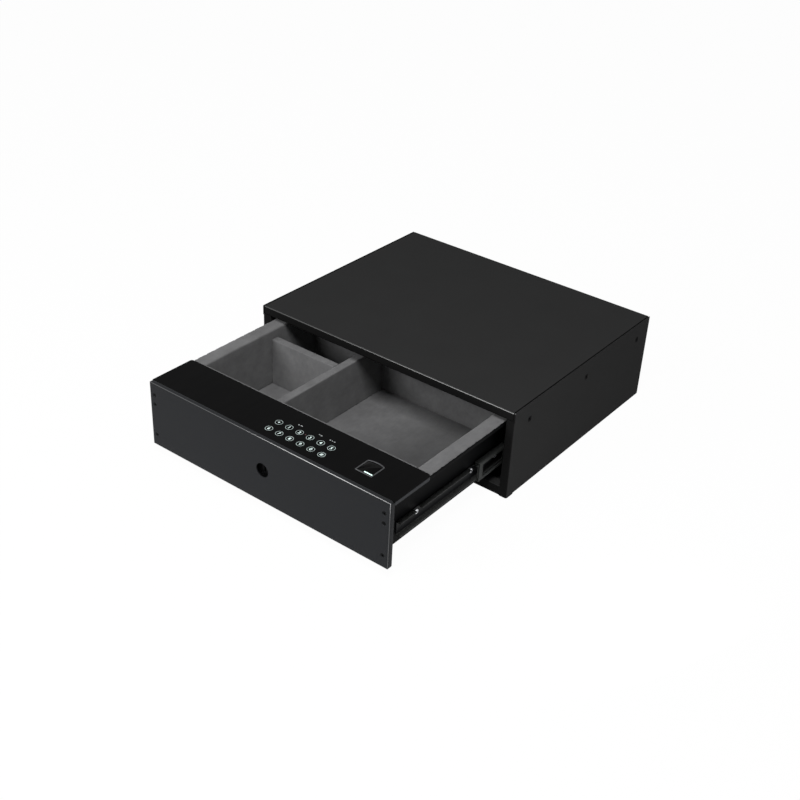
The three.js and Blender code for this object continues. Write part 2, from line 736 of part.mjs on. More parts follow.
function trayShell() {
  const railLow = trayRailTop - TRAY_RAIL_LIP;
  const right = [
    [railOuter, railLow],
    [railOuter, trayRailTop],
    [webInner, trayRailTop],
    [webInner, trayFloor],
  ];
  const section = foldedSheet([...right, ...mirrored(right, -1)], TRAY_SHEET);
  const wallMiddle = webInner + TRAY_SHEET / 2;
  const earTop = deckBottom - SEAT_GAP;
  const backWall = block(
    [-wallMiddle, wallMiddle],
    [trayBack - TRAY_SHEET, trayBack],
    [trayBottom + TRAY_SHEET / 2, trayRailTop],
  );
  const ears = SIDES.map((side) =>
    block(
      [side * wallMiddle, side * (panelHalf - PANEL_EDGE_RADIUS - SEAT_GAP)],
      [trayFront, trayFront + TRAY_SHEET],
      [TRAY_EAR_LOW, earTop],
    ),
  );
  const deckRoom = block(
    [-caseHalf, caseHalf],
    [trayFront - OVERRUN, bulkheadFront],
    [earTop, trayRailTop + OVERRUN],
  );
  const panelHoles = SIDES.flatMap((side) =>
    panelScrewHeights.map((z) =>
      bar("y", [side * panelScrewX, z], screwHole, 0, trayFront + 2 * TRAY_SHEET, SCREW_SIDES),
    ),
  );
  return cut(
    join(prism("y", section, trayFront, trayBack), backWall, ears),
    deckRoom,
    boltSlot(trayBottom - OVERRUN, trayFloor + OVERRUN),
    panelHoles,
    slideScrewHoles(),
  );
}

function bulkhead() {
  const low = trayFloor + SEAT_GAP;
  const line = [
    [bulkheadFront - BULKHEAD_FOOT, low],
    [bulkheadBack, low],
    [bulkheadBack, trayRailTop],
  ];
  const half = webInner - SEAT_GAP;
  return cut(prism("x", foldedSheet(line, TRAY_SHEET), -half, half), bayRoom());
}

// The room that the battery holder takes in the bulkhead and its felt.
function bayRoom() {
  return block(
    [bayX - bayHalf - SEAT_GAP, bayX + bayHalf + SEAT_GAP],
    [bulkheadFront - OVERRUN, storeFront + OVERRUN],
    [BAY_Z - SEAT_GAP, bayTop + SEAT_GAP],
  );
}

function linerSide(side) {
  const line = [
    [railOuter + RAIL_FELT_OVERHANG, feltTop],
    [storeHalf, feltTop],
    [storeHalf, storeFloor + SEAT_GAP],
  ];
  const lining = prism("y", foldedSheet(mirrored(line, side), FELT), frontFelt, backFelt);
  const overBulkhead = block(
    [side * storeHalf, side * (railOuter + RAIL_FELT_OVERHANG)],
    [bulkheadFront, frontFelt + OVERLAP],
    [feltTop - FELT, feltTop],
  );
  return join(lining, overBulkhead);
}

function linerFront() {
  const line = [
    [storeFront, storeFloor + SEAT_GAP],
    [storeFront, feltTop],
    [bulkheadFront, feltTop],
  ];
  const half = storeHalf - SEAT_GAP;
  return cut(prism("x", foldedSheet(line, FELT), -half, half), bayRoom());
}

function linerBack() {
  const line = [
    [trayBack, feltTop],
    [storeBack, feltTop],
    [storeBack, storeFloor + SEAT_GAP],
  ];
  const half = storeHalf - SEAT_GAP;
  return prism("x", foldedSheet(line, FELT), -half, half);
}

function linerFloor() {
  const half = webInner - SEAT_GAP;
  return block([-half, half], [frontFelt, backFelt], [floorFelt, storeFloor]);
}

// A felt covered board standing on the floor, with its top edges rounded.
function divider(axis, across, lengthwise) {
  const low = storeFloor + SEAT_GAP;
  const corners = rectangle(across, [low, low + DIVIDER_HEIGHT]);
  const radii = [0, 0, DIVIDER_EDGE, DIVIDER_EDGE];
  return prism(axis, roundedOutline(corners, radii), ...lengthwise);
}

function longDivider() {
  const half = DIVIDER_WIDTH / 2;
  const across = [LONG_DIVIDER_X - half, LONG_DIVIDER_X + half];
  return divider("y", across, [storeFront + SEAT_GAP, storeBack - SEAT_GAP]);
}

function crossDivider() {
  const across = [CROSS_DIVIDER_Y, CROSS_DIVIDER_Y + CROSS_DIVIDER_WIDTH];
  const right = LONG_DIVIDER_X - DIVIDER_WIDTH / 2 - SEAT_GAP;
  return divider("x", across, [-storeHalf + SEAT_GAP, right]);
}

// Control deck

const deckCorners = (front, by) =>
  rectangle([-panelHalf + by, panelHalf - by], [front + by, DECK_DEPTH - by]);

const keysAcross = [FIRST_KEY_X, FIRST_KEY_X + (KEYS_ACROSS - 1) * KEY_PITCH_X];
const keysBack = [FIRST_KEY_Y, FIRST_KEY_Y + (KEY_ROWS - 1) * KEY_PITCH_Y];
const keyWindow = [inset(keysAcross, -KEY_MARGIN), inset(keysBack, -KEY_MARGIN)];
const boardAcross = inset(keysAcross, -BOARD_MARGIN_X);
const boardBack = inset(keysBack, -BOARD_MARGIN_Y);

// The reader's outline grown by a margin: three straight sides and a back side that bows out.
function readerOutline(margin) {
  const half = READER_WIDTH / 2 + margin;
  const front = READER_Y - READER_DEPTH / 2 - margin;
  const back = READER_Y + READER_DEPTH / 2 - READER_BULGE + margin;
  const bow = [];
  for (let i = 0; i <= BOW_STEPS; i += 1) {
    const t = 1 - (2 * i) / BOW_STEPS;
    bow.push([READER_X + t * half, back + READER_BULGE * (1 - t * t)]);
  }
  const corner = READER_CORNER + margin;
  const radii = bow.map((_, i) => (i % BOW_STEPS === 0 ? corner : 0));
  const outline = [[READER_X - half, front], [READER_X + half, front], ...bow];
  return roundedOutline(outline, [corner, corner, ...radii]);
}

const readerPrism = (margin, low, high) => prism("z", readerOutline(margin), low, high);

function deckFrame() {
  const outer = roundedOutline(deckCorners(deckFront, 0), [0, 0, DECK_CORNER, DECK_CORNER]);
  const innerRadius = DECK_CORNER - DECK_SHEET;
  const inner = roundedOutline(deckCorners(deckFront, DECK_SHEET), [0, 0, innerRadius, innerRadius]);
  const under = deckTop - DECK_SHEET;
  const pillars = boardAcross.flatMap((x, i) =>
    boardBack.map((y, j) => {
      const centre = [x + (i ? -PILLAR_INSET : PILLAR_INSET), y + (j ? -PILLAR_INSET : PILLAR_INSET)];
      return bar("z", centre, PILLAR_RADIUS, boardTop + SEAT_GAP, deckTop - DECK_SHEET / 2, SCREW_SIDES);
    }),
  );
  const hollow = prism("z", inner, deckBottom - OVERRUN, under);
  const through = [under - OVERRUN, deckTop + OVERRUN];
  return cut(
    join(cut(prism("z", outer, deckBottom, deckTop), hollow), pillars),
    block(...keyWindow, through),
    readerPrism(SEAT_GAP, ...through),
  );
}

function touchPanel() {
  const front = PANEL_TOP_FLANGE + SEAT_GAP;
  const outline = roundedOutline(deckCorners(front, 0), [0, 0, DECK_CORNER, DECK_CORNER]);
  const sheet = prism("z", outline, panelTop - GLASS, panelTop);
  return cut(sheet, readerPrism(SEAT_GAP, panelTop - GLASS - OVERRUN, panelTop + OVERRUN));
}

// The diffuser under the glass: a plate with a round light column under each key.
function keyLightGuide() {
  const low = boardTop + SEAT_GAP;
  const plate = block(
    inset(keyWindow[0], SEAT_GAP),
    inset(keyWindow[1], SEAT_GAP),
    [low, low + GUIDE_PLATE],
  );
  const columns = [];
  for (let row = 0; row < KEY_ROWS; row += 1) {
    for (let column = 0; column < KEYS_ACROSS; column += 1) {
      const centre = [FIRST_KEY_X + column * KEY_PITCH_X, FIRST_KEY_Y + row * KEY_PITCH_Y];
      columns.push(bar("z", centre, KEY_RADIUS, low + GUIDE_PLATE / 2, deckTop, SCREW_SIDES));
    }
  }
  return join(plate, columns);
}

// The circuit board, with its processor, relay, plug socket and buzzer on the underside.
function controlBoard() {
  const low = boardTop - BOARD;
  const into = low + BOARD / 2;
  const board = block(boardAcross, boardBack, [low, boardTop]);
  const [left, right] = boardAcross;
  const [front, back] = boardBack;
  const under = ({ width, depth, drop }, x, y) =>
    block([x, x + width], [y, y + depth], [low - drop, into]);
  const centred = (part) => under(part, left + part.fromLeft, (front + back - part.depth) / 2);
  const buzzer = [right - BUZZER.fromRight, back - BUZZER.fromBack];
  return join(
    board,
    [PROCESSOR, RELAY].map(centred),
    under(SOCKET, right - SOCKET.fromRight - SOCKET.width, front + SOCKET.fromFront),
    bar("z", buzzer, BUZZER.radius, low - BUZZER.drop, into),
  );
}

function fingerprintBezel() {
  const flangeTop = deckTop - DECK_SHEET - SEAT_GAP;
  const flangeLow = flangeTop - READER_RIM;
  const body = join(
    readerPrism(0, flangeLow, panelTop + READER_PROUD),
    readerPrism(READER_RIM, flangeLow, flangeTop),
  );
  return cut(body, readerPrism(-READER_RIM, flangeLow - OVERRUN, panelTop + OVERRUN));
}

function fingerprintSensor() {
  return readerPrism(-READER_RIM - SEAT_GAP, panelTop - READER_BODY, panelTop);
}

// Key lock and bolt

const lockFront = PANEL_SHEET + SEAT_GAP;
const lockFace = lockFront + LOCK_FACE_DEPTH;
const lockBack = lockFront + LOCK_LENGTH;
const camBack = BOLT_Y - SEAT_GAP;
const crankFront = boltBack + SEAT_GAP;
const pegRise = BOLT_TRAVEL / 2;
const yokeZ = LOCK_Z + pegRise;

function lockCylinder() {
  const bore = PLUG_RADIUS + RUNNING_GAP;
  return turned("y", [0, LOCK_Z], PORT_SIDES, 1, [
    [KEY_PORT_RADIUS, lockFront],
    [LOCK_FLANGE_RADIUS, lockFront],
    [LOCK_FLANGE_RADIUS, lockFront + LOCK_FLANGE],
    [LOCK_BODY_RADIUS, lockFront + LOCK_FLANGE],
    [LOCK_BODY_RADIUS, lockBack],
    [bore, lockBack],
    [bore, lockFace],
    [KEY_PORT_RADIUS, lockFace],
    [KEY_PORT_RADIUS, lockFront],
  ]);
}

function lockPlug() {
  const shoulder = lockBack + SEAT_GAP;
  const plug = turned("y", [0, LOCK_Z], ROUND_SIDES, 1, [
    [0, lockFace],
    [PLUG_RADIUS, lockFace],
    [PLUG_RADIUS, shoulder],
    [TAIL_RADIUS, shoulder],
    [TAIL_RADIUS, camBack],
    [0, camBack],
  ]);
  const half = KEYWAY_HEIGHT / 2;
  const keyway = block(
    [-KEYWAY_WIDTH / 2, KEYWAY_WIDTH / 2],
    [lockFace - OVERRUN, lockFace + KEYWAY_DEPTH],
    [LOCK_Z - half, LOCK_Z + half],
  );
  return cut(plug, keyway);
}

// A crank plate between two places on Y, round a shaft at x, and a peg that reaches to a third
// place. The peg stands half way up the first quarter turn, with the bolt drawn back.
function crank(x, front, back, pegEnd, shaft) {
  const centre = [x, LOCK_Z];
  const peg = [x + pegRise, yokeZ];
  const half = CRANK_PEG_RADIUS / Math.SQRT2;
  const arm = [
    [x + half, LOCK_Z - half],
    [peg[0] + half, peg[1] - half],
    [peg[0] - half, peg[1] + half],
    [x - half, LOCK_Z + half],
  ];
  const plate = join(
    bar("y", centre, CRANK_HUB_RADIUS, front, back),
    prism("y", arm, front, back),
    bar("y", peg, CRANK_PEG_RADIUS + CRANK_PEG_WALL, front, back, SCREW_SIDES),
    bar("y", peg, CRANK_PEG_RADIUS, pegEnd > back ? front : back, pegEnd, SCREW_SIDES),
  );
  return cut(plate, bar("y", centre, shaft + SEAT_GAP, front - OVERRUN, back + OVERRUN));
}

const lockCam = () => crank(0, camBack - CRANK_SHEET, camBack, boltBack, TAIL_RADIUS);

const motorCrank = () =>
  crank(MOTOR_X, crankFront, crankFront + CRANK_SHEET, BOLT_Y, SHAFT_RADIUS);

// The bolt plate: a bar with a yoke slot for each crank, and a tongue that reaches down.
function lockBolt() {
  const halfBar = BOLT_BAR_WIDTH / 2;
  const halfTongue = BOLT_TONGUE_WIDTH / 2;
  const barLow = yokeZ - BOLT_BAR_HEIGHT / 2;
  const thickness = [BOLT_Y, boltBack];
  const barEnds = [boltBarCentre - halfBar, boltBarCentre + halfBar];
  const plate = join(
    block(barEnds, thickness, [barLow, barLow + BOLT_BAR_HEIGHT]),
    block([-halfTongue, halfTongue], thickness, [trayBottom + SEAT_GAP, barLow + OVERLAP]),
  );
  const reach = CRANK_PEG_RADIUS + 2 * YOKE_CLEARANCE;
  const height = CRANK_PEG_RADIUS + YOKE_CLEARANCE;
  const yokes = [0, MOTOR_X].map((x) =>
    block(
      [x + pegRise - reach, x + crankRadius + reach],
      inset(thickness, -OVERRUN),
      [yokeZ - height, yokeZ + height],
    ),
  );
  return cut(plate, yokes);
}

// The lock's chassis: a folded plate behind the bolt, with guides that hold the bolt's edges.
function lockChassis() {
  const low = trayFloor + SEAT_GAP;
  const high = boardTop - BOARD - RELAY.drop - CHASSIS_DROP;
  const line = [
    [chassisFront, high],
    [chassisFront, low],
    [chassisFront + CHASSIS_FOOT, low],
  ];
  const half = BOLT_BAR_WIDTH / 2 + SEAT_GAP;
  const guideHeights = [yokeZ - BOLT_TRAVEL - BOLT_BAR_HEIGHT / 2, yokeZ + BOLT_BAR_HEIGHT / 2];
  const lipBack = BOLT_Y - SEAT_GAP;
  const left = boltBarCentre - half - GUIDE_WALL;
  const right = boltBarCentre + half + GUIDE_WALL;
  const guides = [
    [left, 1],
    [right, -1],
  ].flatMap(([x, inward]) => [
    block([x, x + inward * GUIDE_WALL], [lipBack - GUIDE_WALL, chassisMiddle], guideHeights),
    block([x, x + inward * GUIDE_LIP], [lipBack - GUIDE_WALL, lipBack], guideHeights),
  ]);
  const plate = prism("x", foldedSheet(line, CHASSIS_SHEET), left, right);
  const shaftHole = bar("y", [MOTOR_X, LOCK_Z], SHAFT_HOLE_RADIUS, BOLT_Y, chassisBack + OVERRUN);
  return cut(join(plate, guides), shaftHole);
}

function boltMotor() {
  const front = chassisBack + SEAT_GAP;
  const back = front + GEARBOX_LENGTH;
  const half = GEARBOX_SIZE / 2;
  const centre = [MOTOR_X, LOCK_Z];
  const box = [
    [MOTOR_X - half, MOTOR_X + half],
    [LOCK_Z - half, LOCK_Z + half],
  ];
  return join(
    block(box[0], [front, back], box[1]),
    bar("y", centre, MOTOR_CAN_RADIUS, back - OVERLAP, back + MOTOR_CAN_LENGTH),
    bar("y", centre, SHAFT_RADIUS, crankFront + SEAT_GAP, front + OVERLAP, SCREW_SIDES),
  );
}

// Battery bay

const axleY = storeFront - DOOR_THICKNESS / 2;
const axleZ = bayTop - BAY_WALL - SEAT_GAP - DOOR_THICKNESS / 2;
const cellBackY = storeFront - DOOR_THICKNESS - CELL_GAP - CELL_RADIUS;
const cellLowZ = BAY_Z + BAY_WALL + CELL_GAP + CELL_RADIUS;

function batteryHolder() {
  const front = cellBackY - CELL_PITCH - CELL_RADIUS - CELL_GAP - BAY_WALL;
  const across = [bayX - bayHalf, bayX + bayHalf];
  const heights = [BAY_Z, bayTop];
  const hole = DOOR_AXLE_RADIUS + RUNNING_GAP;
  return cut(
    block(across, [front, storeFront], heights),
    block(inset(across, BAY_WALL), [front + BAY_WALL, storeFront + OVERRUN], inset(heights, BAY_WALL)),
    bar("x", [axleY, axleZ], hole, ...inset(across, -OVERRUN), SCREW_SIDES),
  );
}

// The door hangs on its axle and has a round top edge, so that it swings without touching.
function batteryDoor() {
  const half = bayHalf - BAY_WALL - SEAT_GAP;
  const across = [bayX - half, bayX + half];
  const low = BAY_Z + BAY_WALL + SEAT_GAP;
  const axle = [axleY, axleZ];
  const reach = half + BAY_WALL;
  return join(
    block(across, [storeFront - DOOR_THICKNESS, storeFront], [low, axleZ]),
    bar("x", axle, DOOR_THICKNESS / 2, ...across, ROUND_SIDES),
    bar("x", axle, DOOR_AXLE_RADIUS, bayX - reach, bayX + reach, SCREW_SIDES),
    block(
      [bayX - DOOR_GRIP_WIDTH / 2, bayX + DOOR_GRIP_WIDTH / 2],
      [storeFront - OVERLAP, storeFront + DOOR_GRIP],
      [low + DOOR_GRIP_RISE, low + DOOR_GRIP_RISE + DOOR_GRIP_HEIGHT],
    ),
  );
}

// A cell lying along X about its own centre, with its raised end at +X.
function cell() {
  const half = CELL_LENGTH / 2;
  return turned("x", [0, 0], ROUND_SIDES, 1, [
    [0, -half],
    [CELL_RADIUS, -half],
    [CELL_RADIUS, half - CELL_TIP_LENGTH],
    [CELL_TIP_RADIUS, half - CELL_TIP_LENGTH],
    [CELL_TIP_RADIUS, half],
    [0, half],
  ]);
}

// Assembly

const safe = new THREE.Group();
safe.position.y = -CASE_DEPTH / 2;

// A group that has run forward by a share of the drawer's opening.
function runner(share) {
  const group = new THREE.Group();
  group.position.y = -DRAWER_OPEN * share;
  safe.add(group);
  return group;
}

const drawer = runner(1);
const middles = runner(MIDDLE_SHARE);
const outerCages = runner(MIDDLE_SHARE / 2);
const innerCages = runner((1 + MIDDLE_SHARE) / 2);

add(safe, "case_body", caseBody(), SATIN_BLACK);
add(safe, "case_back", caseBack(), SATIN_BLACK);
add(safe, "top_cover", topCover(), SATIN_BLACK);
add(safe, "strike_bracket", strikeBracket(), ZINC);

for (const side of SIDES) {
  const name = sideName(side);
  COVER_SCREW_PLACES.forEach((place, i) => {
    add(safe, `cover_screw_${name}_${i + 1}`, coverScrew(side, place), BLACK_SCREW);
  });
  add(safe, `slide_bracket_${name}`, slideBracket(side), SATIN_BLACK);
  add(safe, `slide_outer_${name}`, slideOuter(side), BLACK_STEEL);
  add(outerCages, `ball_cage_outer_${name}`, ballCage(side, outerCage), ZINC);
  add(middles, `slide_middle_${name}`, slideMiddle(side), BLACK_STEEL);
  add(innerCages, `ball_cage_inner_${name}`, ballCage(side, innerCage), ZINC);
  add(drawer, `slide_inner_${name}`, slideInner(side), BLACK_STEEL);
  slideScrewPlaces.forEach((place, i) => {
    add(drawer, `slide_screw_${name}_${i + 1}`, slideScrew(side, place), ZINC);
  });
  add(drawer, `liner_${name}`, linerSide(side), GREY_FELT);
}

add(drawer, "tray_shell", trayShell(), SATIN_BLACK);
add(drawer, "bulkhead", bulkhead(), SATIN_BLACK);
add(drawer, "liner_floor", linerFloor(), GREY_FELT);
add(drawer, "liner_front", linerFront(), GREY_FELT);
add(drawer, "liner_back", linerBack(), GREY_FELT);
add(drawer, "long_divider", longDivider(), GREY_FELT);
add(drawer, "cross_divider", crossDivider(), GREY_FELT);

add(drawer, "front_panel", frontPanel(), SATIN_BLACK);
add(drawer, "deck_frame", deckFrame(), SATIN_BLACK);
add(drawer, "touch_panel", touchPanel(), GLOSS_BLACK);
add(drawer, "key_light_guide", keyLightGuide(), WHITE_PLASTIC);
add(drawer, "control_board", controlBoard(), CIRCUIT);
add(drawer, "fingerprint_bezel", fingerprintBezel(), ZINC);
add(drawer, "fingerprint_sensor", fingerprintSensor(), GLOSS_BLACK);

add(drawer, "lock_cylinder", lockCylinder(), BLACK_STEEL);
add(drawer, "lock_plug", lockPlug(), ZINC);
add(drawer, "lock_cam", lockCam(), ZINC);
add(drawer, "lock_chassis", lockChassis(), ZINC);
add(drawer, "lock_bolt", lockBolt(), ZINC);
add(drawer, "motor_crank", motorCrank(), ZINC);
add(drawer, "bolt_motor", boltMotor(), BLACK_STEEL);

add(drawer, "battery_holder", batteryHolder(), BLACK_PLASTIC);
add(drawer, "battery_door", batteryDoor(), BLACK_PLASTIC);
for (let i = 0; i < CELLS; i += 1) {
  const mesh = add(drawer, `cell_${i + 1}`, cell(), CELL_SLEEVE);
  const back = i % 2;
  const up = (i - back) / 2;
  mesh.position.set(bayX, cellBackY - back * CELL_PITCH, cellLowZ + up * CELL_PITCH);
  mesh.rotation.z = back * Math.PI;
}

export default safe;
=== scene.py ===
"""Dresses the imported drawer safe: felt lining, keys, finger reader, screws, ball cages and finishes."""

import math

import bpy
import numpy as np
from bpy.props import FloatProperty, FloatVectorProperty, PointerProperty
from mathutils import Matrix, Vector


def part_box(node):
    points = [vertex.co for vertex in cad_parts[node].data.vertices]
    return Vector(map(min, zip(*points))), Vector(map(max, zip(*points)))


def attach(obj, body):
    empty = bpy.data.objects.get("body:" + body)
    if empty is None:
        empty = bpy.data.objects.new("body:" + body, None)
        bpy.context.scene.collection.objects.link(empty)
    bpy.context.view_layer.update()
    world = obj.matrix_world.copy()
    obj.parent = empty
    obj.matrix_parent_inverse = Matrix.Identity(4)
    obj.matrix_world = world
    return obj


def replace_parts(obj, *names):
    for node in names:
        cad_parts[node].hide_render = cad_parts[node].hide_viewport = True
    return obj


bl_info = {
    "name": "Drawer Safe",
    "version": (1, 0, 0),
    "blender": (4, 5, 0),
    "location": "3D Viewport > Sidebar > Drawer Safe",
    "description": "Felt lining, keys, finger reader, screws and finishes of a drawer safe",
    "category": "Object",
}

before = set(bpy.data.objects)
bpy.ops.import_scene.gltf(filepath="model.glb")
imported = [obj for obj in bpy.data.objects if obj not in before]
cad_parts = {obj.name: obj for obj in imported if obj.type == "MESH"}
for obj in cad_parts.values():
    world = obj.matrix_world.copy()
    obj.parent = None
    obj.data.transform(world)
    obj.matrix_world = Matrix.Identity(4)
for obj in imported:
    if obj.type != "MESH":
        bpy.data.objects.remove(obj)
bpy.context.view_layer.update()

MM = 0.001
SIDES = (-1, 1)
SIDE_NAMES = {-1: "left", 1: "right"}
PLACES = (1, 2, 3)

# For each axis that an outline is carried along: the outline's two directions, then the axis's own
ORDER = {"x": (1, 2, 0), "y": (0, 2, 1), "z": (0, 1, 2)}

# Distances between points of the felt, steps round its edges, and lengths of its slow waves
FLAT_SPACING = 8 * MM
FOLD_SPACING = 6 * MM
FRAY_SPACING = 2 * MM
BOARD_SPACING = 5 * MM
EDGE_STEPS = 2
WALL_WAVE = 70 * MM
BOARD_WAVE = 45 * MM

# The keys' figures from the front left, and the small marks behind them: each mark's middle, from the
# case's middle and the panel's front, and its size, in mm
FIGURES = "67890#*12345"
MARKS = (
    ((12.6, 48.8), (1.9, 1.9)),
    ((16.6, 49.2), (3.6, 1.0)),
    ((43.6, 49.3), (2.2, 0.9)),
    ((46.8, 49.0), (2.6, 1.5)),
    ((60.0, 48.9), (1.7, 1.7)),
    ((63.2, 49.0), (2.2, 1.0)),
    ((66.4, 49.1), (1.7, 1.5)),
)
LOW_CELL_MARK = ((31.9, 38.6), (1.6, 1.6))

# The radius of the case and slide screws' shanks, and of every shank's end
SHANK = 1.7 * MM
SHANK_END = 0.2 * MM


# Sizes and colours


def length(name, description, default):
    """A size that a user can change, in metres."""
    return FloatProperty(name=name, description=description, default=default, min=0, unit="LENGTH")


def colour(name, description, default):
    """A linear colour that a user can change."""
    return FloatVectorProperty(
        name=name, description=description, default=default, size=3, min=0, max=1, subtype="COLOR"
    )


def turn(name, description, degrees):
    """An angle that a user can change."""
    return FloatProperty(name=name, description=description, default=math.radians(degrees), subtype="ANGLE")


def power(name, description, default):
    """A lamp's power that a user can change, in W."""
    return FloatProperty(name=name, description=description, default=default, min=0, unit="POWER")


class FeltSettings(bpy.types.PropertyGroup):
    """The felt's sizes and colour."""

    thickness: length("Thickness", "How thick the felt is", 1.3 * MM)
    edge: length("Edge", "Radius of a cut felt edge", 0.45 * MM)
    fold: length("Fold", "Radius of the felt where it folds over the rail", 2.2 * MM)
    divider_edge: length("Divider edge", "Radius along a divider's top", 1.3 * MM)
    unevenness: length("Unevenness", "How far the glued felt leaves a true plane", 0.12 * MM)
    fray: length("Fray", "How far the rail felt's outer edge is frayed", 1.4 * MM)
    grey: colour("Grey", "Colour of the felt", (0.126, 0.126, 0.128))


class KeySettings(bpy.types.PropertyGroup):
    """The keys' sizes and colours."""

    ring_radius: length("Ring radius", "Outer radius of a key's ring", 4.7 * MM)
    ring_width: length("Ring width", "Width of a key's ring", 0.52 * MM)
    print_height: length("Print height", "How far the print stands on the glass", 0.03 * MM)
    digit_size: length("Digit size", "Height of a key's figure", 6.2 * MM)
    digit_weight: length("Digit weight", "How much heavier the strokes are made", 0.09 * MM)
    lit: colour("Lit", "Colour of the lit print", (0.42, 0.50, 0.485))


class ReaderSettings(bpy.types.PropertyGroup):
    """The finger reader's sizes."""

    rim: length("Rim", "Width of the rim", 1.7 * MM)
    edge: length("Edge", "Radius along the rim's edges", 0.5 * MM)
    bulge: length("Bulge", "How far the back side bows out", 2.6 * MM)
    corner: length("Corner", "Radius of the reader's corners", 2.0 * MM)
    strip_length: length("Strip length", "Length of the lit strip", 11.5 * MM)
    strip_width: length("Strip width", "Width of the lit strip", 1.7 * MM)


class ScrewSettings(bpy.types.PropertyGroup):
    """The screws' sizes."""

    recess_reach: length("Recess reach", "Half length of the cross recess", 1.9 * MM)
    recess_width: length("Recess width", "Half width of the cross recess's arms", 0.45 * MM)
    recess_depth: length("Recess depth", "Depth of the cross recess", 1.1 * MM)
    socket: length("Socket", "Half width across flats of the panel screws' socket", 1.0 * MM)
    socket_depth: length("Socket depth", "Depth of the panel screws' socket", 1.2 * MM)
    panel_head: length("Panel head", "Radius of the panel screws' heads", 2.6 * MM)
    panel_depth: length("Panel depth", "How deep the panel screws lie in their holes", 0.8 * MM)
    cover_depth: length("Cover depth", "How deep the cover screws lie in their holes", 0.6 * MM)


class CageSettings(bpy.types.PropertyGroup):
    """The slides' ball cages' sizes."""

    strip: length("Strip", "Thickness of a cage's strip", 0.5 * MM)
    outer_ball: length("Outer ball", "Radius of the outer cages' balls", 1.3 * MM)
    inner_ball: length("Inner ball", "Radius of the inner cages' balls", 1.0 * MM)
    ball_pitch: length("Ball pitch", "Distance from ball to ball", 6 * MM)
    lip: length("Lip", "Width of the strip on the slide's side", 4 * MM)
    bend: length("Bend", "Radius of the strip's fold", 0.9 * MM)
    bridge: length("Bridge", "Width of the bridges between the strips", 5 * MM)
    tongue: length("Tongue", "How far the front bridge's tongue reaches from the front", 11 * MM)
    nose: length("Nose", "How far the inner strips run on in front of their balls", 15 * MM)


class SteelSettings(bpy.types.PropertyGroup):
    """The steelwork's edge and paint."""

    edge: length("Edge", "Radius left on cut and folded edges", 0.22 * MM)
    paint: colour("Paint", "Colour of the case's black paint", (0.0252, 0.0253, 0.0254))
    front_paint: colour("Front paint", "Colour of the front panel's black paint", (0.0104, 0.0111, 0.0126))


class StageSettings(bpy.types.PropertyGroup):
    """The camera's place and the lamps' strengths."""

    azimuth: turn("Azimuth", "Camera's angle round the object from the front", 36.471)
    elevation: turn("Elevation", "Camera's angle above the horizon", 31.807)
    roll: turn("Roll", "Camera's turn about its own axis", 2.994)
    lens: FloatProperty(name="Lens", description="Focal length in mm", default=54.707, unit="CAMERA")
    eye: FloatVectorProperty(
        name="Eye", description="Camera's place", default=(0.7990, -1.1997, 0.8703), size=3,
        subtype="TRANSLATION", unit="LENGTH",
    )
    room_light: FloatProperty(name="Room light", description="Strength of the even light", default=0.17)
    main: power("Main", "Power of the main lamp", 24.5)
    front: power("Front", "Power of the front left lamp", 24)
    side: power("Side", "Power of the lamp beside the case", 0.25)


# Shapes


def rounded(corners, radii, steps=6):
    """A closed outline with an arc at each corner.

    An arc's centre lies one radius from both of its sides, and its points are spread evenly over
    the turn between them.
    """
    corner = np.asarray(corners, float)
    radius = np.broadcast_to(np.asarray(radii, float), len(corner))[:, None]
    arriving = corner - np.roll(corner, 1, axis=0)
    arriving /= np.linalg.norm(arriving, axis=1, keepdims=True)
    leaving = np.roll(arriving, -1, axis=0)
    cross = arriving[:, 0] * leaving[:, 1] - arriving[:, 1] * leaving[:, 0]
    bend = np.arctan2(cross, (arriving * leaving).sum(axis=1))[:, None]
    start = corner - arriving * radius * np.tan(np.abs(bend) / 2)
    across = np.stack([-arriving[:, 1], arriving[:, 0]], axis=1) * np.sign(bend)
    centre = start + across * radius
    spoke = start - centre
    angle = bend * np.linspace(0, 1, steps + 1)
    u = centre[:, :1] + spoke[:, :1] * np.cos(angle) - spoke[:, 1:] * np.sin(angle)
    v = centre[:, 1:] + spoke[:, :1] * np.sin(angle) + spoke[:, 1:] * np.cos(angle)
    return np.stack([u, v], axis=-1).reshape(-1, 2)


def rectangle(low, high):
    """The four corners of a rectangle, anticlockwise."""
    return [(low[0], low[1]), (high[0], low[1]), (high[0], high[1]), (low[0], high[1])]


def round_angles(count):
    """A full turn's evenly spread angles."""
    return np.linspace(0, math.tau, count, endpoint=False)


def circle(angle):
    """A circle of radius 1: the cosine and the sine of each angle."""
    return np.stack([np.cos(angle), np.sin(angle)], axis=1)


def folded_line(corners, radius, steps=6):
    """An open line with an arc at each of its inner corners."""
    tiny = 0.001 * MM
    radii = [tiny, *[radius] * (len(corners) - 2), tiny]
    arcs = rounded(corners, radii, steps).reshape(len(corners), steps + 1, 2)
    return np.vstack([arcs[0, -1:], *arcs[1:-1], arcs[-1, :1]])


def finer(line, spacing, ends=()):
    """A line with more points, and each point's distance along it from the nearest end.

    They are its own points, evenly spaced ones, and ones at set distances from both ends.
    """
    along = np.concatenate([[0], np.cumsum(np.linalg.norm(np.diff(line, axis=0), axis=1))])
    even = np.linspace(0, along[-1], max(int(along[-1] / spacing), 3))
    ends = np.asarray(ends, float)
    places = np.unique(np.round(np.concatenate([along, even, ends, along[-1] - ends]), 7))
    points = np.stack([np.interp(places, along, line[:, i]) for i in (0, 1)], axis=1)
    return points, np.minimum(places, along[-1] - places)


def refined(outline, spacing):
    """A closed outline with more points."""
    return finer(np.vstack([outline, outline[:1]]), spacing)[0][:-1]


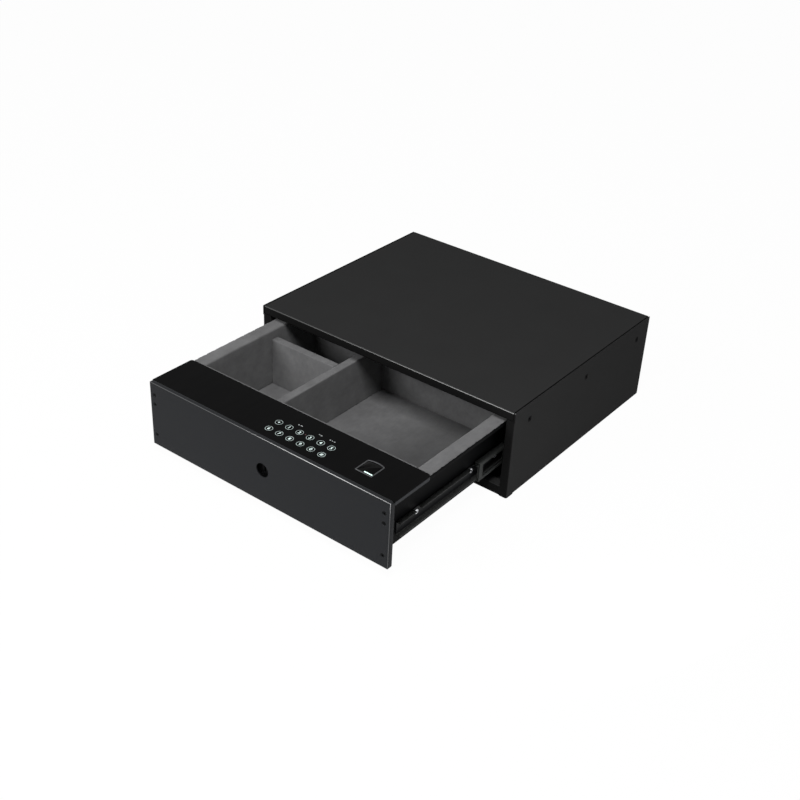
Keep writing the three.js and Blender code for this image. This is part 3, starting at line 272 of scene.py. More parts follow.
def thickened(line, thickness, share=1.0):
    """The outline of a band: both sides of its middle line, half the thickness away along its normals."""
    step = np.diff(line, axis=0)
    step /= np.linalg.norm(step, axis=1, keepdims=True)
    tangent = np.vstack([step[:1], step]) + np.vstack([step, step[-1:]])
    tangent /= np.linalg.norm(tangent, axis=1, keepdims=True)
    normal = np.stack([tangent[:, 1], -tangent[:, 0]], axis=1)
    depth = thickness / 2 * np.reshape(share, (-1, 1)) * normal
    return np.vstack([line + depth, (line - depth)[::-1]])


def outward(outline):
    """Unit normals of an anticlockwise outline: the chord between neighbours, turned a quarter right."""
    chord = np.roll(outline, -1, axis=0) - np.roll(outline, 1, axis=0)
    normal = np.stack([chord[:, 1], -chord[:, 0]], axis=1)
    return normal / np.maximum(np.linalg.norm(normal, axis=1, keepdims=True), 1e-12)


def lay(axis, outline, places):
    """Sets an outline's two directions and its places along an axis on x, y and z."""
    points = np.empty(outline.shape[:-1] + (3,))
    points[..., ORDER[axis][:2]] = outline
    points[..., ORDER[axis][2]] = places
    return points


def skin(rows, columns, wrap=False):
    """The four-sided faces between the neighbouring points of a grid whose columns close on themselves.

    With wrap, the last row joins the first.
    """
    i, j = np.meshgrid(np.arange(rows if wrap else rows - 1), np.arange(columns), indexing="ij")
    right = (j + 1) % columns
    below = (i + 1) % rows
    faces = [i * columns + j, i * columns + right, below * columns + right, below * columns + j]
    return np.stack(faces, axis=-1).reshape(-1, 4)


def end_faces(columns, start, ladder):
    """The face that closes a ring of points, or for a thin folded band a ladder between its two sides."""
    if not ladder:
        return [start + np.arange(columns)]
    i = np.arange(columns // 2 - 1)
    return list(start + np.stack([i, i + 1, columns - 2 - i, columns - 1 - i], axis=1))


def capped(rings, ladder=False):
    """A solid through rings of points, closed at its first and its last ring."""
    rows, columns = rings.shape[:2]
    first = [face[::-1] for face in end_faces(columns, 0, ladder)]
    last = end_faces(columns, (rows - 1) * columns, ladder)
    return rings.reshape(-1, 3), list(skin(rows, columns)) + first + last


def loop(rings):
    """A solid through rings of points whose last ring joins the first, such as a rim."""
    rows, columns = rings.shape[:2]
    return rings.reshape(-1, 3), list(skin(rows, columns, wrap=True))


def rod(axis, outline, places, insets, ladder=False):
    """A closed outline carried along an axis and drawn in along its own normals.

    The point at place k is the outline's point less inset k times its normal.
    """
    insets = np.asarray(insets, float)[:, None, None]
    rings = outline[None] - insets * outward(outline)[None]
    return capped(lay(axis, rings, np.asarray(places, float)[:, None]), ladder)


def cushioned(axis, outline, low, high, radius, spacing, steps=5, ladder=False):
    """A rod between two places whose ends are rounded by a quarter circle.

    At an angle a from the end, the inset is radius times (1 - sin a) and the place is radius times
    (1 - cos a) from the end.
    """
    angle = np.linspace(0, math.pi / 2, steps + 1)
    inset = radius * (1 - np.sin(angle))
    along = radius * (1 - np.cos(angle))
    count = max(int((high - low - 2 * radius) / spacing), 1)
    middle = np.linspace(low + radius, high - radius, count + 1)[1:-1]
    places = np.concatenate([low + along, middle, (high - along)[::-1]])
    insets = np.concatenate([inset, np.zeros(len(middle)), inset[::-1]])
    return rod(axis, outline, places, insets, ladder)


def waves(points, amplitude, wavelength):
    """Points moved by slow waves: on each axis, the mean of three sines of three slanting distances."""
    slants = np.array([[1.0, 0.4, 0.2], [-0.3, 1.0, 0.5], [0.5, -0.6, 1.0]]) * math.tau / wavelength
    phases = points @ slants.T
    sines = ((1, 0.3), (1.3, 1.9), (0.7, 4.1))
    move = [np.sin(phases * share + shift).mean(axis=-1) for share, shift in sines]
    return points + amplitude * np.stack(move, axis=-1)


def volume(points, faces):
    """Six times the signed volume that faces enclose, as a sum over fans of triangles."""
    total = 0.0
    for size in {len(face) for face in faces}:
        group = points[np.array([face for face in faces if len(face) == size])]
        fan = np.cross(group[:, 1:-1], group[:, 2:])
        total += (group[:, :1] * fan).sum()
    return total


def added(name, data):
    """A new object of the scene."""
    made = bpy.data.objects.new(name, data)
    bpy.context.scene.collection.objects.link(made)
    return made


def piece(name, parts, body, material, smooth_angle=40):
    """A mesh object made of closed parts, facing outwards, that rides on a body."""
    points = []
    faces = []
    for part_points, part_faces in parts:
        start = sum(len(p) for p in points)
        order = 1 if volume(part_points, part_faces) > 0 else -1
        faces += [(np.asarray(face)[::order] + start).tolist() for face in part_faces]
        points.append(part_points)
    mesh = bpy.data.meshes.new(name)
    mesh.from_pydata(np.concatenate(points).tolist(), [], faces)
    mesh.shade_smooth()
    mesh.set_sharp_from_angle(angle=math.radians(smooth_angle))
    made = added(name, mesh)
    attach(made, body)
    mesh.materials.append(material)
    return made


def node_box(node):
    """A CAD node's lowest and highest corner as arrays."""
    low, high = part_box(node)
    return np.array(low), np.array(high)


# Finishes


def both_ways(operation):
    """A Math node's operation as a method and as its reflected form."""

    def straight(self, other):
        return self.nodes.node("ShaderNodeMath", {"operation": operation}, {0: self, 1: other})

    def reflected(self, other):
        return self.nodes.node("ShaderNodeMath", {"operation": operation}, {0: other, 1: self})

    return straight, reflected


class Value:
    """A shader socket with the sums that the finishes use."""

    __add__, __radd__ = both_ways("ADD")
    __sub__, __rsub__ = both_ways("SUBTRACT")
    __mul__, __rmul__ = both_ways("MULTIPLY")
    __gt__ = both_ways("GREATER_THAN")[0]

    def __init__(self, nodes, socket):
        self.nodes = nodes
        self.socket = socket


class Nodes:
    """A tree of shader nodes."""

    def __init__(self, tree):
        self.tree = tree

    def node(self, kind, settings, inputs, output=0):
        """Any node: its settings are set first, then its sockets are set or linked."""
        made = self.tree.nodes.new(kind)
        for key, value in settings.items():
            setattr(made, key, value)
        for key, value in inputs.items():
            self.put(made.inputs[key], value)
        return Value(self, made.outputs[output]) if made.outputs else None

    def put(self, socket, value):
        """Links a value to a socket, or sets the socket to a constant."""
        if isinstance(value, Value):
            self.tree.links.new(value.socket, socket)
        elif socket.type == "RGBA" and len(value) == 3:
            socket.default_value = (*value, 1)
        else:
            socket.default_value = value


class Finish(Nodes):
    """A material's nodes. Its patterns read Object coordinates, in metres."""

    def __init__(self, name, **constants):
        self.material = bpy.data.materials.new(name)
        self.material.use_nodes = True
        super().__init__(self.material.node_tree)
        self.shader = self.tree.nodes["Principled BSDF"]
        for socket, value in constants.items():
            self.set(socket.replace("_", " "), value)

    def set(self, name, value):
        """Gives one of the shader's own sockets its value."""
        self.put(self.shader.inputs[name], value)

    def here(self):
        """Object coordinates."""
        return self.node("ShaderNodeTexCoord", {}, {}, "Object")

    def along(self, axis):
        """The object coordinate on one axis."""
        return self.node("ShaderNodeSeparateXYZ", {}, {"Vector": self.here()}, axis)

    def noise(self, grain, detail=2.0, stretch=(1, 1, 1)):
        """Noise from 0 to 1 whose lumps are about a grain across, in metres."""
        place = self.node("ShaderNodeMapping", {}, {"Vector": self.here(), "Scale": stretch})
        return self.node("ShaderNodeTexNoise", {}, {"Vector": place, "Scale": 1 / grain, "Detail": detail})

    def near(self, spot, reach):
        """1 at a spot, such as the line where two planes meet, falling to 0 one reach away.

        A spot lists its planes, each an axis and a place on it. Each plane's share is 2 less twice
        the distance over the reach, kept between 0 and 1, and the shares are multiplied.
        """
        total = 1.0
        clamped = {"operation": "SUBTRACT", "use_clamp": True}
        for axis, place in spot:
            away = self.node("ShaderNodeMath", {"operation": "ABSOLUTE"}, {0: self.along(axis) - place})
            total = total * self.node("ShaderNodeMath", clamped, {0: 2.0, 1: away * (2 / reach)})
        return total

    def mix(self, share, first, second):
        """A colour between two colours."""
        return self.node("ShaderNodeMix", {"data_type": "RGBA"}, {0: share, 6: first, 7: second}, 2)

    def graded(self, share, tint, low, high):
        """A tint made darker where a share is 0 and lighter where it is 1."""
        return self.mix(share, shade(tint, low), shade(tint, high))

    def bump(self, height, depth):
        """Tilts the surface by a height from 0 to 1 that stands for a depth in metres."""
        self.set("Normal", self.node("ShaderNodeBump", {}, {"Height": height, "Distance": depth}))


def shade(tint, share):
    """A colour made lighter or darker by a share."""
    return tuple(channel * share for channel in tint)


def painted_steel(name, tint, specular, folds=(), dark=()):
    """Satin powder coat: a fine grain and soft clouds in the gloss.

    Folds are spots that hands have polished, and get a coat. Dark lists spots of painted shade, such as
    the shadow in a seam, each with the share of the paint's colour that it takes away and how far it reaches.
    """
    finish = Finish(name, Metallic=0, Specular_IOR_Level=specular, Coat_Roughness=0.2, Coat_IOR=1.9)
    grain = finish.noise(0.45 * MM, 3)
    clouds = finish.noise(60 * MM, 2)
    paint = finish.graded(grain * 0.6 + clouds * 0.4, tint, 0.8, 1.2)
    # Painted shade: each dark spot pulls the paint towards black
    for spot, share, reach in dark:
        paint = finish.mix(finish.near(spot, reach) * share, paint, (0, 0, 0))
    finish.set("Base Color", paint)
    finish.set("Roughness", 0.42 + clouds * 0.1 + grain * 0.06)
    finish.bump(grain, 0.02 * MM)
    if folds:
        finish.set("Coat Weight", sum(finish.near(spot, 1.4 * MM) for spot in folds))
    return finish.material


def gloss_black(name, tint, roughness, specular):
    """Black acrylic: smooth, with faint wiping marks in its gloss."""
    finish = Finish(name, Metallic=0, Specular_IOR_Level=specular)
    wiping = finish.noise(9 * MM, 3, (1, 0.25, 1))
    finish.set("Base Color", finish.graded(wiping, tint, 0.8, 1.2))
    finish.set("Roughness", roughness + wiping * 0.05)
    return finish.material


def felt(name, tint, wall_shade=(), reach=176 * MM):
    """Short pressed felt: two layers of crossing fibres, specks, and soft clouds of pile.

    Wall shade lists spots, such as a wall beside the felt, each with the share by which the pile near
    it is made darker: painted shade cast by that wall.
    """
    finish = Finish(name, Roughness=1.0, Metallic=0, Specular_IOR_Level=0.1)
    finish.set("Sheen Weight", 0.12)
    finish.set("Sheen Roughness", 0.6)
    fibres_along = finish.noise(0.5 * MM, 3, (1, 0.3, 1))
    fibres_across = finish.noise(0.5 * MM, 3, (0.3, 1, 0.6))
    specks = finish.noise(0.22 * MM, 1)
    clouds = finish.noise(24 * MM, 3)
    fibres = fibres_along * 0.5 + fibres_across * 0.5
    nap = finish.noise(5 * MM, 4, (1, 0.5, 0.8))
    tone = fibres * 0.25 + specks * 0.1 + clouds * 0.4 + nap * 0.25
    pile = finish.graded(tone, tint, 0.25, 1.75)
    # Painted shade: the pile darkens towards each listed wall
    for spot, share in wall_shade:
        pile = finish.mix(finish.near(spot, reach) * share, pile, shade(tint, 0.2))
    finish.set("Base Color", pile)
    finish.bump(fibres * 0.7 + specks * 0.3, 0.25 * MM)
    return finish.material


def plated_steel(name, tint, roughness, along="y"):
    """Rolled and plated steel: long drawing lines and crystal patches in its gloss."""
    finish = Finish(name, Metallic=1.0)
    stretch = {"x": (0.03, 1, 1), "y": (1, 0.03, 1), "z": (1, 1, 0.03)}[along]
    lines = finish.noise(0.5 * MM, 2, stretch)
    patches = finish.noise(4 * MM, 2)
    finish.set("Base Color", finish.graded(patches, tint, 0.85, 1.1))
    finish.set("Roughness", roughness + lines * 0.12 + patches * 0.08)
    finish.bump(lines, 0.006 * MM)
    return finish.material


def raceway_steel(name, tint, worn_and_painted_light):
    """Black slide steel whose two flanges are grey in streaks along the run: ball wear, and painted light
    where the flanges catch it.
    """
    finish = Finish(name, Metallic=0, Specular_IOR_Level=0.1)
    low, high = node_box("slide_inner_right")
    streaks = finish.noise(0.6 * MM, 2, (1, 0.04, 1))
    lower_flange = low[2] + 1.2 * MM
    flanges = [finish.near((("Z", height),), 0.5 * MM) for height in (lower_flange, high[2])]
    # Ball wear and painted light: the flanges turn lighter than the web
    mask = (flanges[0] + flanges[1]) * (0.6 + streaks * 0.4)
    finish.set("Base Color", finish.mix(mask, tint, worn_and_painted_light))
    finish.set("Roughness", 0.45 - mask * 0.1)
    finish.bump(streaks, 0.006 * MM)
    return finish.material


def moulded_plastic(name, tint, roughness):
    """Moulded plastic: a fine spark texture."""
    finish = Finish(name, Metallic=0, Specular_IOR_Level=0.4)
    grain = finish.noise(0.5 * MM, 2)
    finish.set("Base Color", finish.graded(grain, tint, 0.85, 1.15))
    finish.set("Roughness", roughness + grain * 0.12)
    finish.bump(grain, 0.02 * MM)
    return finish.material


def lit_print(name, tint, strength):
    """Print that is lit from below: a pale translucent ink with a fine dot pattern in it."""
    finish = Finish(name, Roughness=0.5, Metallic=0, Emission_Strength=strength)
    dots = finish.noise(0.4 * MM, 1)
    glow = finish.graded(dots, tint, 0.85, 1.15)
    finish.set("Base Color", glow)
    finish.set("Emission Color", glow)
    return finish.material


def circuit_board(name, tint):
    """Solder mask over a grid of tracks: fine lines both ways, lighter where copper lies under it."""
    finish = Finish(name, Metallic=0, Specular_IOR_Level=0.5, Roughness=0.35)
    across = finish.noise(1.2 * MM, 0, (1, 0.05, 1)) > 0.56
    back = finish.noise(1.2 * MM, 0, (0.05, 1, 1)) > 0.58
    finish.set("Base Color", finish.graded(across * 0.6 + back * 0.4, tint, 1, 1.9))
    return finish.material


def cell_sleeve(name, tint, band):
    """A cell's printed sleeve: a plain colour with a band at one end."""
    finish = Finish(name, Metallic=0.3, Roughness=0.3)
    band_start = sum(node_box("cell_1"))[0] / 2 + 14 * MM
    mask = finish.along("X") > band_start
    scuffs = finish.noise(3 * MM, 3)
    finish.set("Base Color", finish.mix(mask * 0.9 + scuffs * 0.1, tint, band))
    return finish.material


def case_shadows(thin):
    """The case paint's painted shade: dark spots on the jambs' front edges, in the cover's seams and round
    its right screws.
    """
    high = node_box("top_cover")[1]
    seam_width = 0.4 * MM
    # Painted shade on the case's front faces and just behind its front edges
    dark = [((("Y", node_box("case_body")[0][1]),), 0.7, thin)]
    # Painted shade in the seams between the cover and the side walls
    for side in SIDES:
        dark.append(((("Z", high[2]), ("X", side * (high[0] + seam_width))), 0.97, thin))
    # Painted shade round the recessed right cover screws
    for place in PLACES:
        centre = sum(node_box(f"cover_screw_right_{place}")) / 2
        dark.append(((("Y", centre[1]), ("Z", centre[2])), 0.95, 4.2 * MM))
    return dark


def dress(nodes, material):
    """Gives CAD nodes a material."""
    for node in nodes:
        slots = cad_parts[node].data.materials
        slots.clear()
        slots.append(material)


def soften(nodes, edge):
    """Gives CAD nodes whole flat planes, smooth folds and a small radius on every sharp edge."""
    planes = {"decimate_type": "DISSOLVE", "angle_limit": math.radians(0.5)}
    radius = {
        "width": edge, "segments": 2, "limit_method": "ANGLE", "angle_limit": math.radians(50),
        "use_clamp_overlap": False,
    }
    modifiers = (
        ("Weld", "WELD", {"merge_threshold": 0.002 * MM}),
        ("Whole planes", "DECIMATE", planes),
        ("Edge radius", "BEVEL", radius),
        ("Flat faces", "WEIGHTED_NORMAL", {"mode": "FACE_AREA", "weight": 50}),
    )
    for node in nodes:
        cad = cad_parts[node]
        cad.data.shade_smooth()
        for name, kind, settings in modifiers:
            modifier = cad.modifiers.new(name, kind)
            for key, value in settings.items():
                setattr(modifier, key, value)


# Felt


def felt_slab(axis, low, high, settings):
    """A felt slab: a rounded rectangle carried along an axis, with slow waves in its faces."""
    u, v, along = ORDER[axis]
    outline = refined(rounded(rectangle(low[[u, v]], high[[u, v]]), settings.edge), FLAT_SPACING)
    ends = low[along], high[along]
    points, faces = cushioned(axis, outline, *ends, settings.edge, FLAT_SPACING, EDGE_STEPS)
    return waves(points, settings.unevenness, WALL_WAVE), faces


def folded_felt(top, wall, rim, low, settings):
    """The outline of felt that covers a wall, folds over its top and runs to the rim.

    Its middle line goes up half the thickness behind the wall's shown face, round the fold and
    along half the thickness under the top. Near both ends the thickness is its full size times the
    square root of 1 - (1 - d)^2, where d is the distance from the end over the edge's radius.
    """
    half = settings.thickness / 2
    behind = wall + math.copysign(half, rim - wall)
    corners = [(behind, low), (behind, top - half), (rim, top - half)]
    edge = settings.edge
    middle = folded_line(corners, settings.fold - half, 8)
    line, away = finer(middle, FOLD_SPACING, (0.3 * edge, 0.6 * edge, edge))
    share = np.sqrt(1 - (1 - np.minimum(away / edge, 1)) ** 2)
    return thickened(line, settings.thickness, np.maximum(share, 0.3))


def frayed(points, rim, settings):
    """Points beside a cut edge that runs along y, drawn in from it unevenly.

    The pull is the fray times the square of half of 1 plus the mean of three sines of the place
    along the edge. It falls in a straight line to nothing 3 mm from the edge.
    """
    reach = 3 * MM
    wavelengths = np.array([17, 7.3, 4.1]) * MM
    phases = points[:, 1:2] * math.tau / wavelengths
    pull = settings.fray * ((1 + np.sin(phases + np.array([0, 1, 2])).mean(axis=1)) / 2) ** 2
    away = (points[:, 0] - rim) / reach
    moved = points.copy()
    moved[:, 0] += np.sign(away) * pull * np.clip(1 - np.abs(away), 0, 1)
    return moved


def lining(node, parts, flat, rests_on, finish, held="stretched", **more):
    """A felt sheet in the place of a CAD liner."""
    made = piece(f"felt_{node}", parts, "drawer", finish, 60)
    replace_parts(made, node)


def lining_side(side, settings, finish):
    """The felt of one side wall and the rail over it, and the band that meets it over the front."""
    node = f"liner_{SIDE_NAMES[side]}"
    low, high = node_box(node)
    clearance = 0.3 * MM
    gap = 0.2 * MM
    start = node_box("bulkhead")[1][1] + clearance
    wall, rim = (low[0], high[0]) if side > 0 else (high[0], low[0])
    outline = folded_felt(high[2], wall, rim, low[2], settings)
    ends = start, high[1]
    points, faces = cushioned("y", outline, *ends, settings.edge, FRAY_SPACING, EDGE_STEPS, ladder=True)
    shown = waves(frayed(points, rim, settings), settings.unevenness, WALL_WAVE)
    band_low = np.array([low[0], low[1], high[2] - settings.thickness])
    band = felt_slab("y", band_low, np.array([high[0], start - gap, high[2]]), settings)
    flat = (abs(rim - wall) + high[2] - low[2], high[1] - low[1])
    lining(node, [(shown, faces), band], flat, "tray_shell", finish)


def holed_sheet(low, high, hole_low, hole_high, settings):
    """A sheet facing along y with a rectangular hole: rings run from its rim to the hole and back.

    Ring k is the rim's outline moved a share of the way to the hole's outline, point by point, on
    the front face, and then the same on the back face.
    """
    steps = 12
    outer = rounded(rectangle(low[[0, 2]], high[[0, 2]]), settings.edge, steps)
    inner = rounded(rectangle(hole_low[[0, 2]], hole_high[[0, 2]]), settings.edge, steps)
    shares = np.linspace(0, 1, 6)[:, None, None]
    rings = outer[None] * (1 - shares) + inner[None] * shares
    return loop(np.concatenate([lay("y", rings, low[1]), lay("y", rings[::-1], high[1])]))


def lining_front(settings, finish):
    """The felt of the front wall, with the battery door's hole, and the band over the wall."""
    low, high = node_box("liner_front")
    hole_low, hole_high = node_box("battery_holder")
    clearance = 0.3 * MM
    face_low = np.array([low[0], high[1] - settings.thickness, low[2]])
    wall = holed_sheet(face_low, high, hole_low - clearance, hole_high + clearance, settings)
    band = felt_slab("x", np.array([low[0], low[1], high[2] - settings.thickness]), high, settings)
    hole = (hole_high - hole_low)[0] * (hole_high - hole_low)[2]
    width, depth = high[0] - low[0], high[2] - low[2] + high[1] - low[1]
    area = width * depth - hole
    lining("liner_front", [wall, band], (width, depth), "bulkhead", finish, area=area)


def lining_back(settings, finish):
    """The felt of the back wall, folded over it."""
    low, high = node_box("liner_back")
    outline = folded_felt(high[2], low[1], high[1], low[2], settings)
    ends = low[0], high[0]
    points, faces = cushioned("x", outline, *ends, settings.edge, FLAT_SPACING, EDGE_STEPS, ladder=True)
    shown = waves(points, settings.unevenness, WALL_WAVE)
    flat = (high[0] - low[0], high[2] - low[2] + high[1] - low[1])
    lining("liner_back", [(shown, faces)], flat, "tray_shell", finish)


def lining_floor(settings, finish):
    """The felt on the drawer's floor."""
    low, high = node_box("liner_floor")
    slab = felt_slab("x", low, high, settings)
    lining("liner_floor", [slab], tuple((high - low)[:2]), "tray_shell", finish, held="laid")


def divider_board(node, axis, settings, finish):
    """A felt covered board: a section with a rounded top, carried along an axis to soft ends."""
    low, high = node_box(node)
    across = {"x": 1, "y": 0}[axis]
    along = 1 - across
    edge, top, soft_end = settings.edge, settings.divider_edge, 1.2 * MM
    corners = rectangle(low[[across, 2]], high[[across, 2]])
    outline = refined(rounded(corners, [edge, edge, top, top], 8), BOARD_SPACING)
    points, faces = cushioned(axis, outline, low[along], high[along], soft_end, FOLD_SPACING)
    shown = waves(points, settings.unevenness, BOARD_WAVE)
    made = piece(f"felt_{node}", [(shown, faces)], "drawer", finish, 50)
    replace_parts(made, node)


# Keys and reader


def ring(centre, radius, width, low, high):
    """A flat ring: circles at its outer and inner radius, at two heights, with sloping edges."""
    inner = radius - width
    slope = 0.03 * MM
    radii = np.array([radius, radius - slope, inner + slope, inner])[:, None, None]
    rings = centre + circle(round_angles(64))[None] * radii
    return loop(lay("z", rings, np.array([low, high, high, low])[:, None]))


def bar_mark(centre, size, low, high):
    """A small flat mark: a rectangle with nearly round ends and a sloping edge."""
    half = np.asarray(size) / 2
    roundness = 0.98
    slope = 0.02 * MM
    outline = rounded(rectangle(centre - half, centre + half), half.min() * roundness)
    return rod("z", outline, [low, high], [0, slope])


def print_marks(marks, low, high):
    """Marks on the deck, placed from the case's middle and the panel's front."""
    front = np.array([0, node_box("front_panel")[0][1]])
    return [bar_mark(front + np.array(spot) * MM, np.array(size) * MM, low, high) for spot, size in marks]


def figure(text, centre, settings, low, high):
    """One figure of the keys as a solid, centred on a key."""
    curve = bpy.data.curves.new("figure", "FONT")
    curve.body = text
    curve.size = settings.digit_size
    curve.offset = settings.digit_weight
    curve.extrude = (high - low) / 2
    curve.resolution_u = 4
    drawn = added("figure", curve)
    mesh = bpy.data.meshes.new_from_object(drawn.evaluated_get(bpy.context.evaluated_depsgraph_get()))
    points = np.empty(len(mesh.vertices) * 3)
    mesh.vertices.foreach_get("co", points)
    points = points.reshape(-1, 3)
    middle = (points.min(axis=0) + points.max(axis=0)) / 2
    faces = [np.array(polygon.vertices) for polygon in mesh.polygons]
    bpy.data.objects.remove(drawn)
    bpy.data.meshes.remove(mesh)
    return points - middle + np.array([*centre, (low + high) / 2]), faces


def key_centres():
    """The middles of the keys, row by row from the front, as the light guide under them gives."""
    low, high = node_box("key_light_guide")
    margin = 7.7 * MM
    x = np.linspace(low[0] + margin, high[0] - margin, 6)
    y = np.linspace(low[1] + margin, high[1] - margin, 2)
    return [np.array([a, b]) for b in y for a in x]


def reader_outline(low, high, settings):
    """Three straight sides and a back side that bows out as a parabola, with rounded corners."""
    centre = (low[0] + high[0]) / 2
    half = (high[0] - low[0]) / 2
    share = np.linspace(1, -1, 15)
    back = high[1] - settings.bulge + settings.bulge * (1 - share**2)
    bow = np.stack([centre + half * share, back], axis=1)
    front = [(low[0], low[1]), (high[0], low[1])]
    corner = settings.corner
    radii = [corner / 2, corner / 2, corner] + [0.05 * MM] * (len(bow) - 2) + [corner]
    return rounded(np.vstack([front, bow]), radii, 6)


def reader_rim(outline, foot, top, settings):
    """The rim: up its outer side, over a quarter circle, the flat and another, and down its inner side.

    At an angle a, the outer quarter circle is drawn in by the edge's radius times (1 - cos a) and
    lies the radius times (1 - sin a) under the top, and the inner one does the same the other way.
    """
    angle = np.linspace(0, math.pi / 2, 5)
    rise, run = settings.edge * np.sin(angle), settings.edge * np.cos(angle)
    shoulder = top - settings.edge
    insets = np.concatenate([[0], settings.edge - run, settings.rim - settings.edge + rise, [settings.rim]])
    levels = np.concatenate([[foot], shoulder + rise, shoulder + run, [foot]])
    rings = outline[None] - insets[:, None, None] * outward(outline)[None]
    return loop(lay("z", rings, levels[:, None]))


def reader_window(outline, glass, settings):
    """The window: the rim's outline drawn in to just inside the rim, with a soft upper edge."""
    gap = 0.15 * MM
    inside = outline - (settings.rim + gap) * outward(outline)
    depths = np.array([8, 0.4, 0.12, 0]) * MM
    insets = np.array([0, 0, 0.1, 0.4]) * MM
    return rod("z", inside, glass - depths, insets)


# Screws


def cross_radius(angle, reach, width):
    """The radius of a cross at each angle: the further out of its two arms, each a rectangle."""
    c = np.maximum(np.abs(np.cos(angle)), 1e-9)
    s = np.maximum(np.abs(np.sin(angle)), 1e-9)
    return np.maximum(np.minimum(reach / c, width / s), np.minimum(width / c, reach / s))


def hexagon_radius(angle, flat):
    """The radius of a hexagon at each angle, from its half width across flats."""
    sixth = math.tau / 6
    return flat / np.cos(angle % sixth - sixth / 2)


def turned_screw(axis, centre, side, profile, recess, depth):
    """A screw turned from a profile of (radius, place) rings, with a shaped recess in its head.

    A ring is its radius times a circle, or the recess's radius at each angle, drawn in with depth.
    The profile runs from the shank's end to the head's rim, and the recess follows it.
    """
    angle = round_angles(48)
    rim = recess(angle)[:, None] * circle(angle)
    radii, places = np.array(profile).T
    head = places[-1]
    rings = [radius * circle(angle) for radius in radii] + [rim, rim * 0.85, rim * 0.3]
    levels = [*places, head, head - depth * 0.7, head - depth]
    outline = np.array(rings) + np.asarray(centre)
    return capped(lay(axis, outline, side * np.array(levels)[:, None]))


def side_screw(node, side, sunk, head_profile, share, settings):
    """A cross recessed screw along x in the place of a CAD screw, with a head of a given profile."""
    low, high = node_box(node)
    centre = (low + high)[1:] / 2
    shank, head = sorted((side * low[0], side * high[0]))
    profile = head_profile((high - low)[1] / 2, shank, head - sunk)

    def recess(angle):
        return cross_radius(angle, settings.recess_reach * share, settings.recess_width)

    return turned_screw("x", centre, side, profile, recess, settings.recess_depth)


def countersunk(radius, shank, head):
    """A countersunk screw's profile: a pointed shank, a cone, and a flat head with a soft rim."""
    return [
        (SHANK_END, shank), (1.2 * MM, shank + 0.1 * MM), (SHANK, shank + 0.6 * MM),
        (SHANK, head - 1.6 * MM), (radius, head - 0.25 * MM), (radius, head - 0.1 * MM),
        (radius - 0.2 * MM, head - 0.02 * MM), (radius - 0.8 * MM, head),
    ]


def pan_head(radius, shank, head):
    """A pan head screw's profile: over its edge, the radius falls as the root of the angle's cosine."""
    seat = head - 1.8 * MM
    last = 1.1
    angle = np.linspace(0, last, 6)
    rise = 0.7 * MM + 1.1 * MM * np.sin(angle) / math.sin(last)
    crown = zip(radius * np.cos(angle) ** 0.5, seat + rise)
    return [(SHANK_END, shank), (SHANK, shank + 0.05 * MM), (SHANK, seat), (radius, seat), *crown]


def panel_screws(settings):
    """The socket screws that hold the front panel on the tray, deep in their holes."""
    low, high = node_box("front_panel")
    head = -(low[1] + settings.panel_depth)
    inset = 8.2 * MM
    heights = (low[2] + 16.4 * MM, high[2] - 30.1 * MM, high[2] - 16.8 * MM)
    radius = settings.panel_head
    profile = [
        (SHANK_END, head - 5 * MM), (1.6 * MM, head - 4.8 * MM), (1.6 * MM, head - 1.2 * MM),
        (radius, head - 0.2 * MM), (radius - 0.1 * MM, head - 0.05 * MM), (radius - 0.3 * MM, head),
    ]

    def recess(angle):
        return hexagon_radius(angle, settings.socket)

    places = [(x, z) for x in (low[0] + inset, high[0] - inset) for z in heights]
    return [turned_screw("y", place, -1, profile, recess, settings.socket_depth) for place in places]


# Ball cages


def ball(centre, radius):
    """A ball: circles whose radius and height follow the sine and cosine of the angle from its pole."""
    polar = np.linspace(0, math.pi, 9)[1:-1]
    rings = np.sin(polar)[:, None, None] * circle(round_angles(10))
    return capped(centre + radius * lay("z", rings, np.cos(polar)[:, None]))


def cage_flats(front, back, row, settings):
    """A cage's three bridges and its tongue.

    Each has its two ends, half its height, its corners' radius and half its thickness.
    """
    half = settings.bridge / 2
    depth = 0.4 * settings.strip
    middles = front + half + np.array([0, 0.75, 1]) * (back - front - 2 * half)
    bridges = [(y - half, y + half, row - settings.strip, 0.5 * MM, depth) for y in middles]
    tongue = (front + 1.8 * half, front + settings.tongue, 2.5 * MM, 1.2 * MM, 0.8 * depth)
    return [*bridges, tongue]


def cage_strip(side, low, high, row, nose, settings):
    """An angle strip along each row of balls, joined by three flat bridges, the front one with a tongue."""
    middle = (low + high)[2] / 2
    open_edge, web = (low[0], high[0]) if side > 0 else (high[0], low[0])
    web -= side * settings.strip / 2
    front, back = low[1] - nose, high[1]
    parts = []
    for up in SIDES:
        level = middle + up * row
        corners = [(open_edge, level), (web, level), (web, level - up * settings.lip)]
        section = thickened(folded_line(corners, settings.bend), settings.strip)
        parts.append(rod("y", section, [front, back], [0, 0], ladder=True))
    for start, end, half, corner, depth in cage_flats(front, back, row, settings):
        outline = rounded(rectangle((start, middle - half), (end, middle + half)), corner)
        parts.append(rod("x", outline, [web - depth, web + depth], [0, 0]))
    return parts


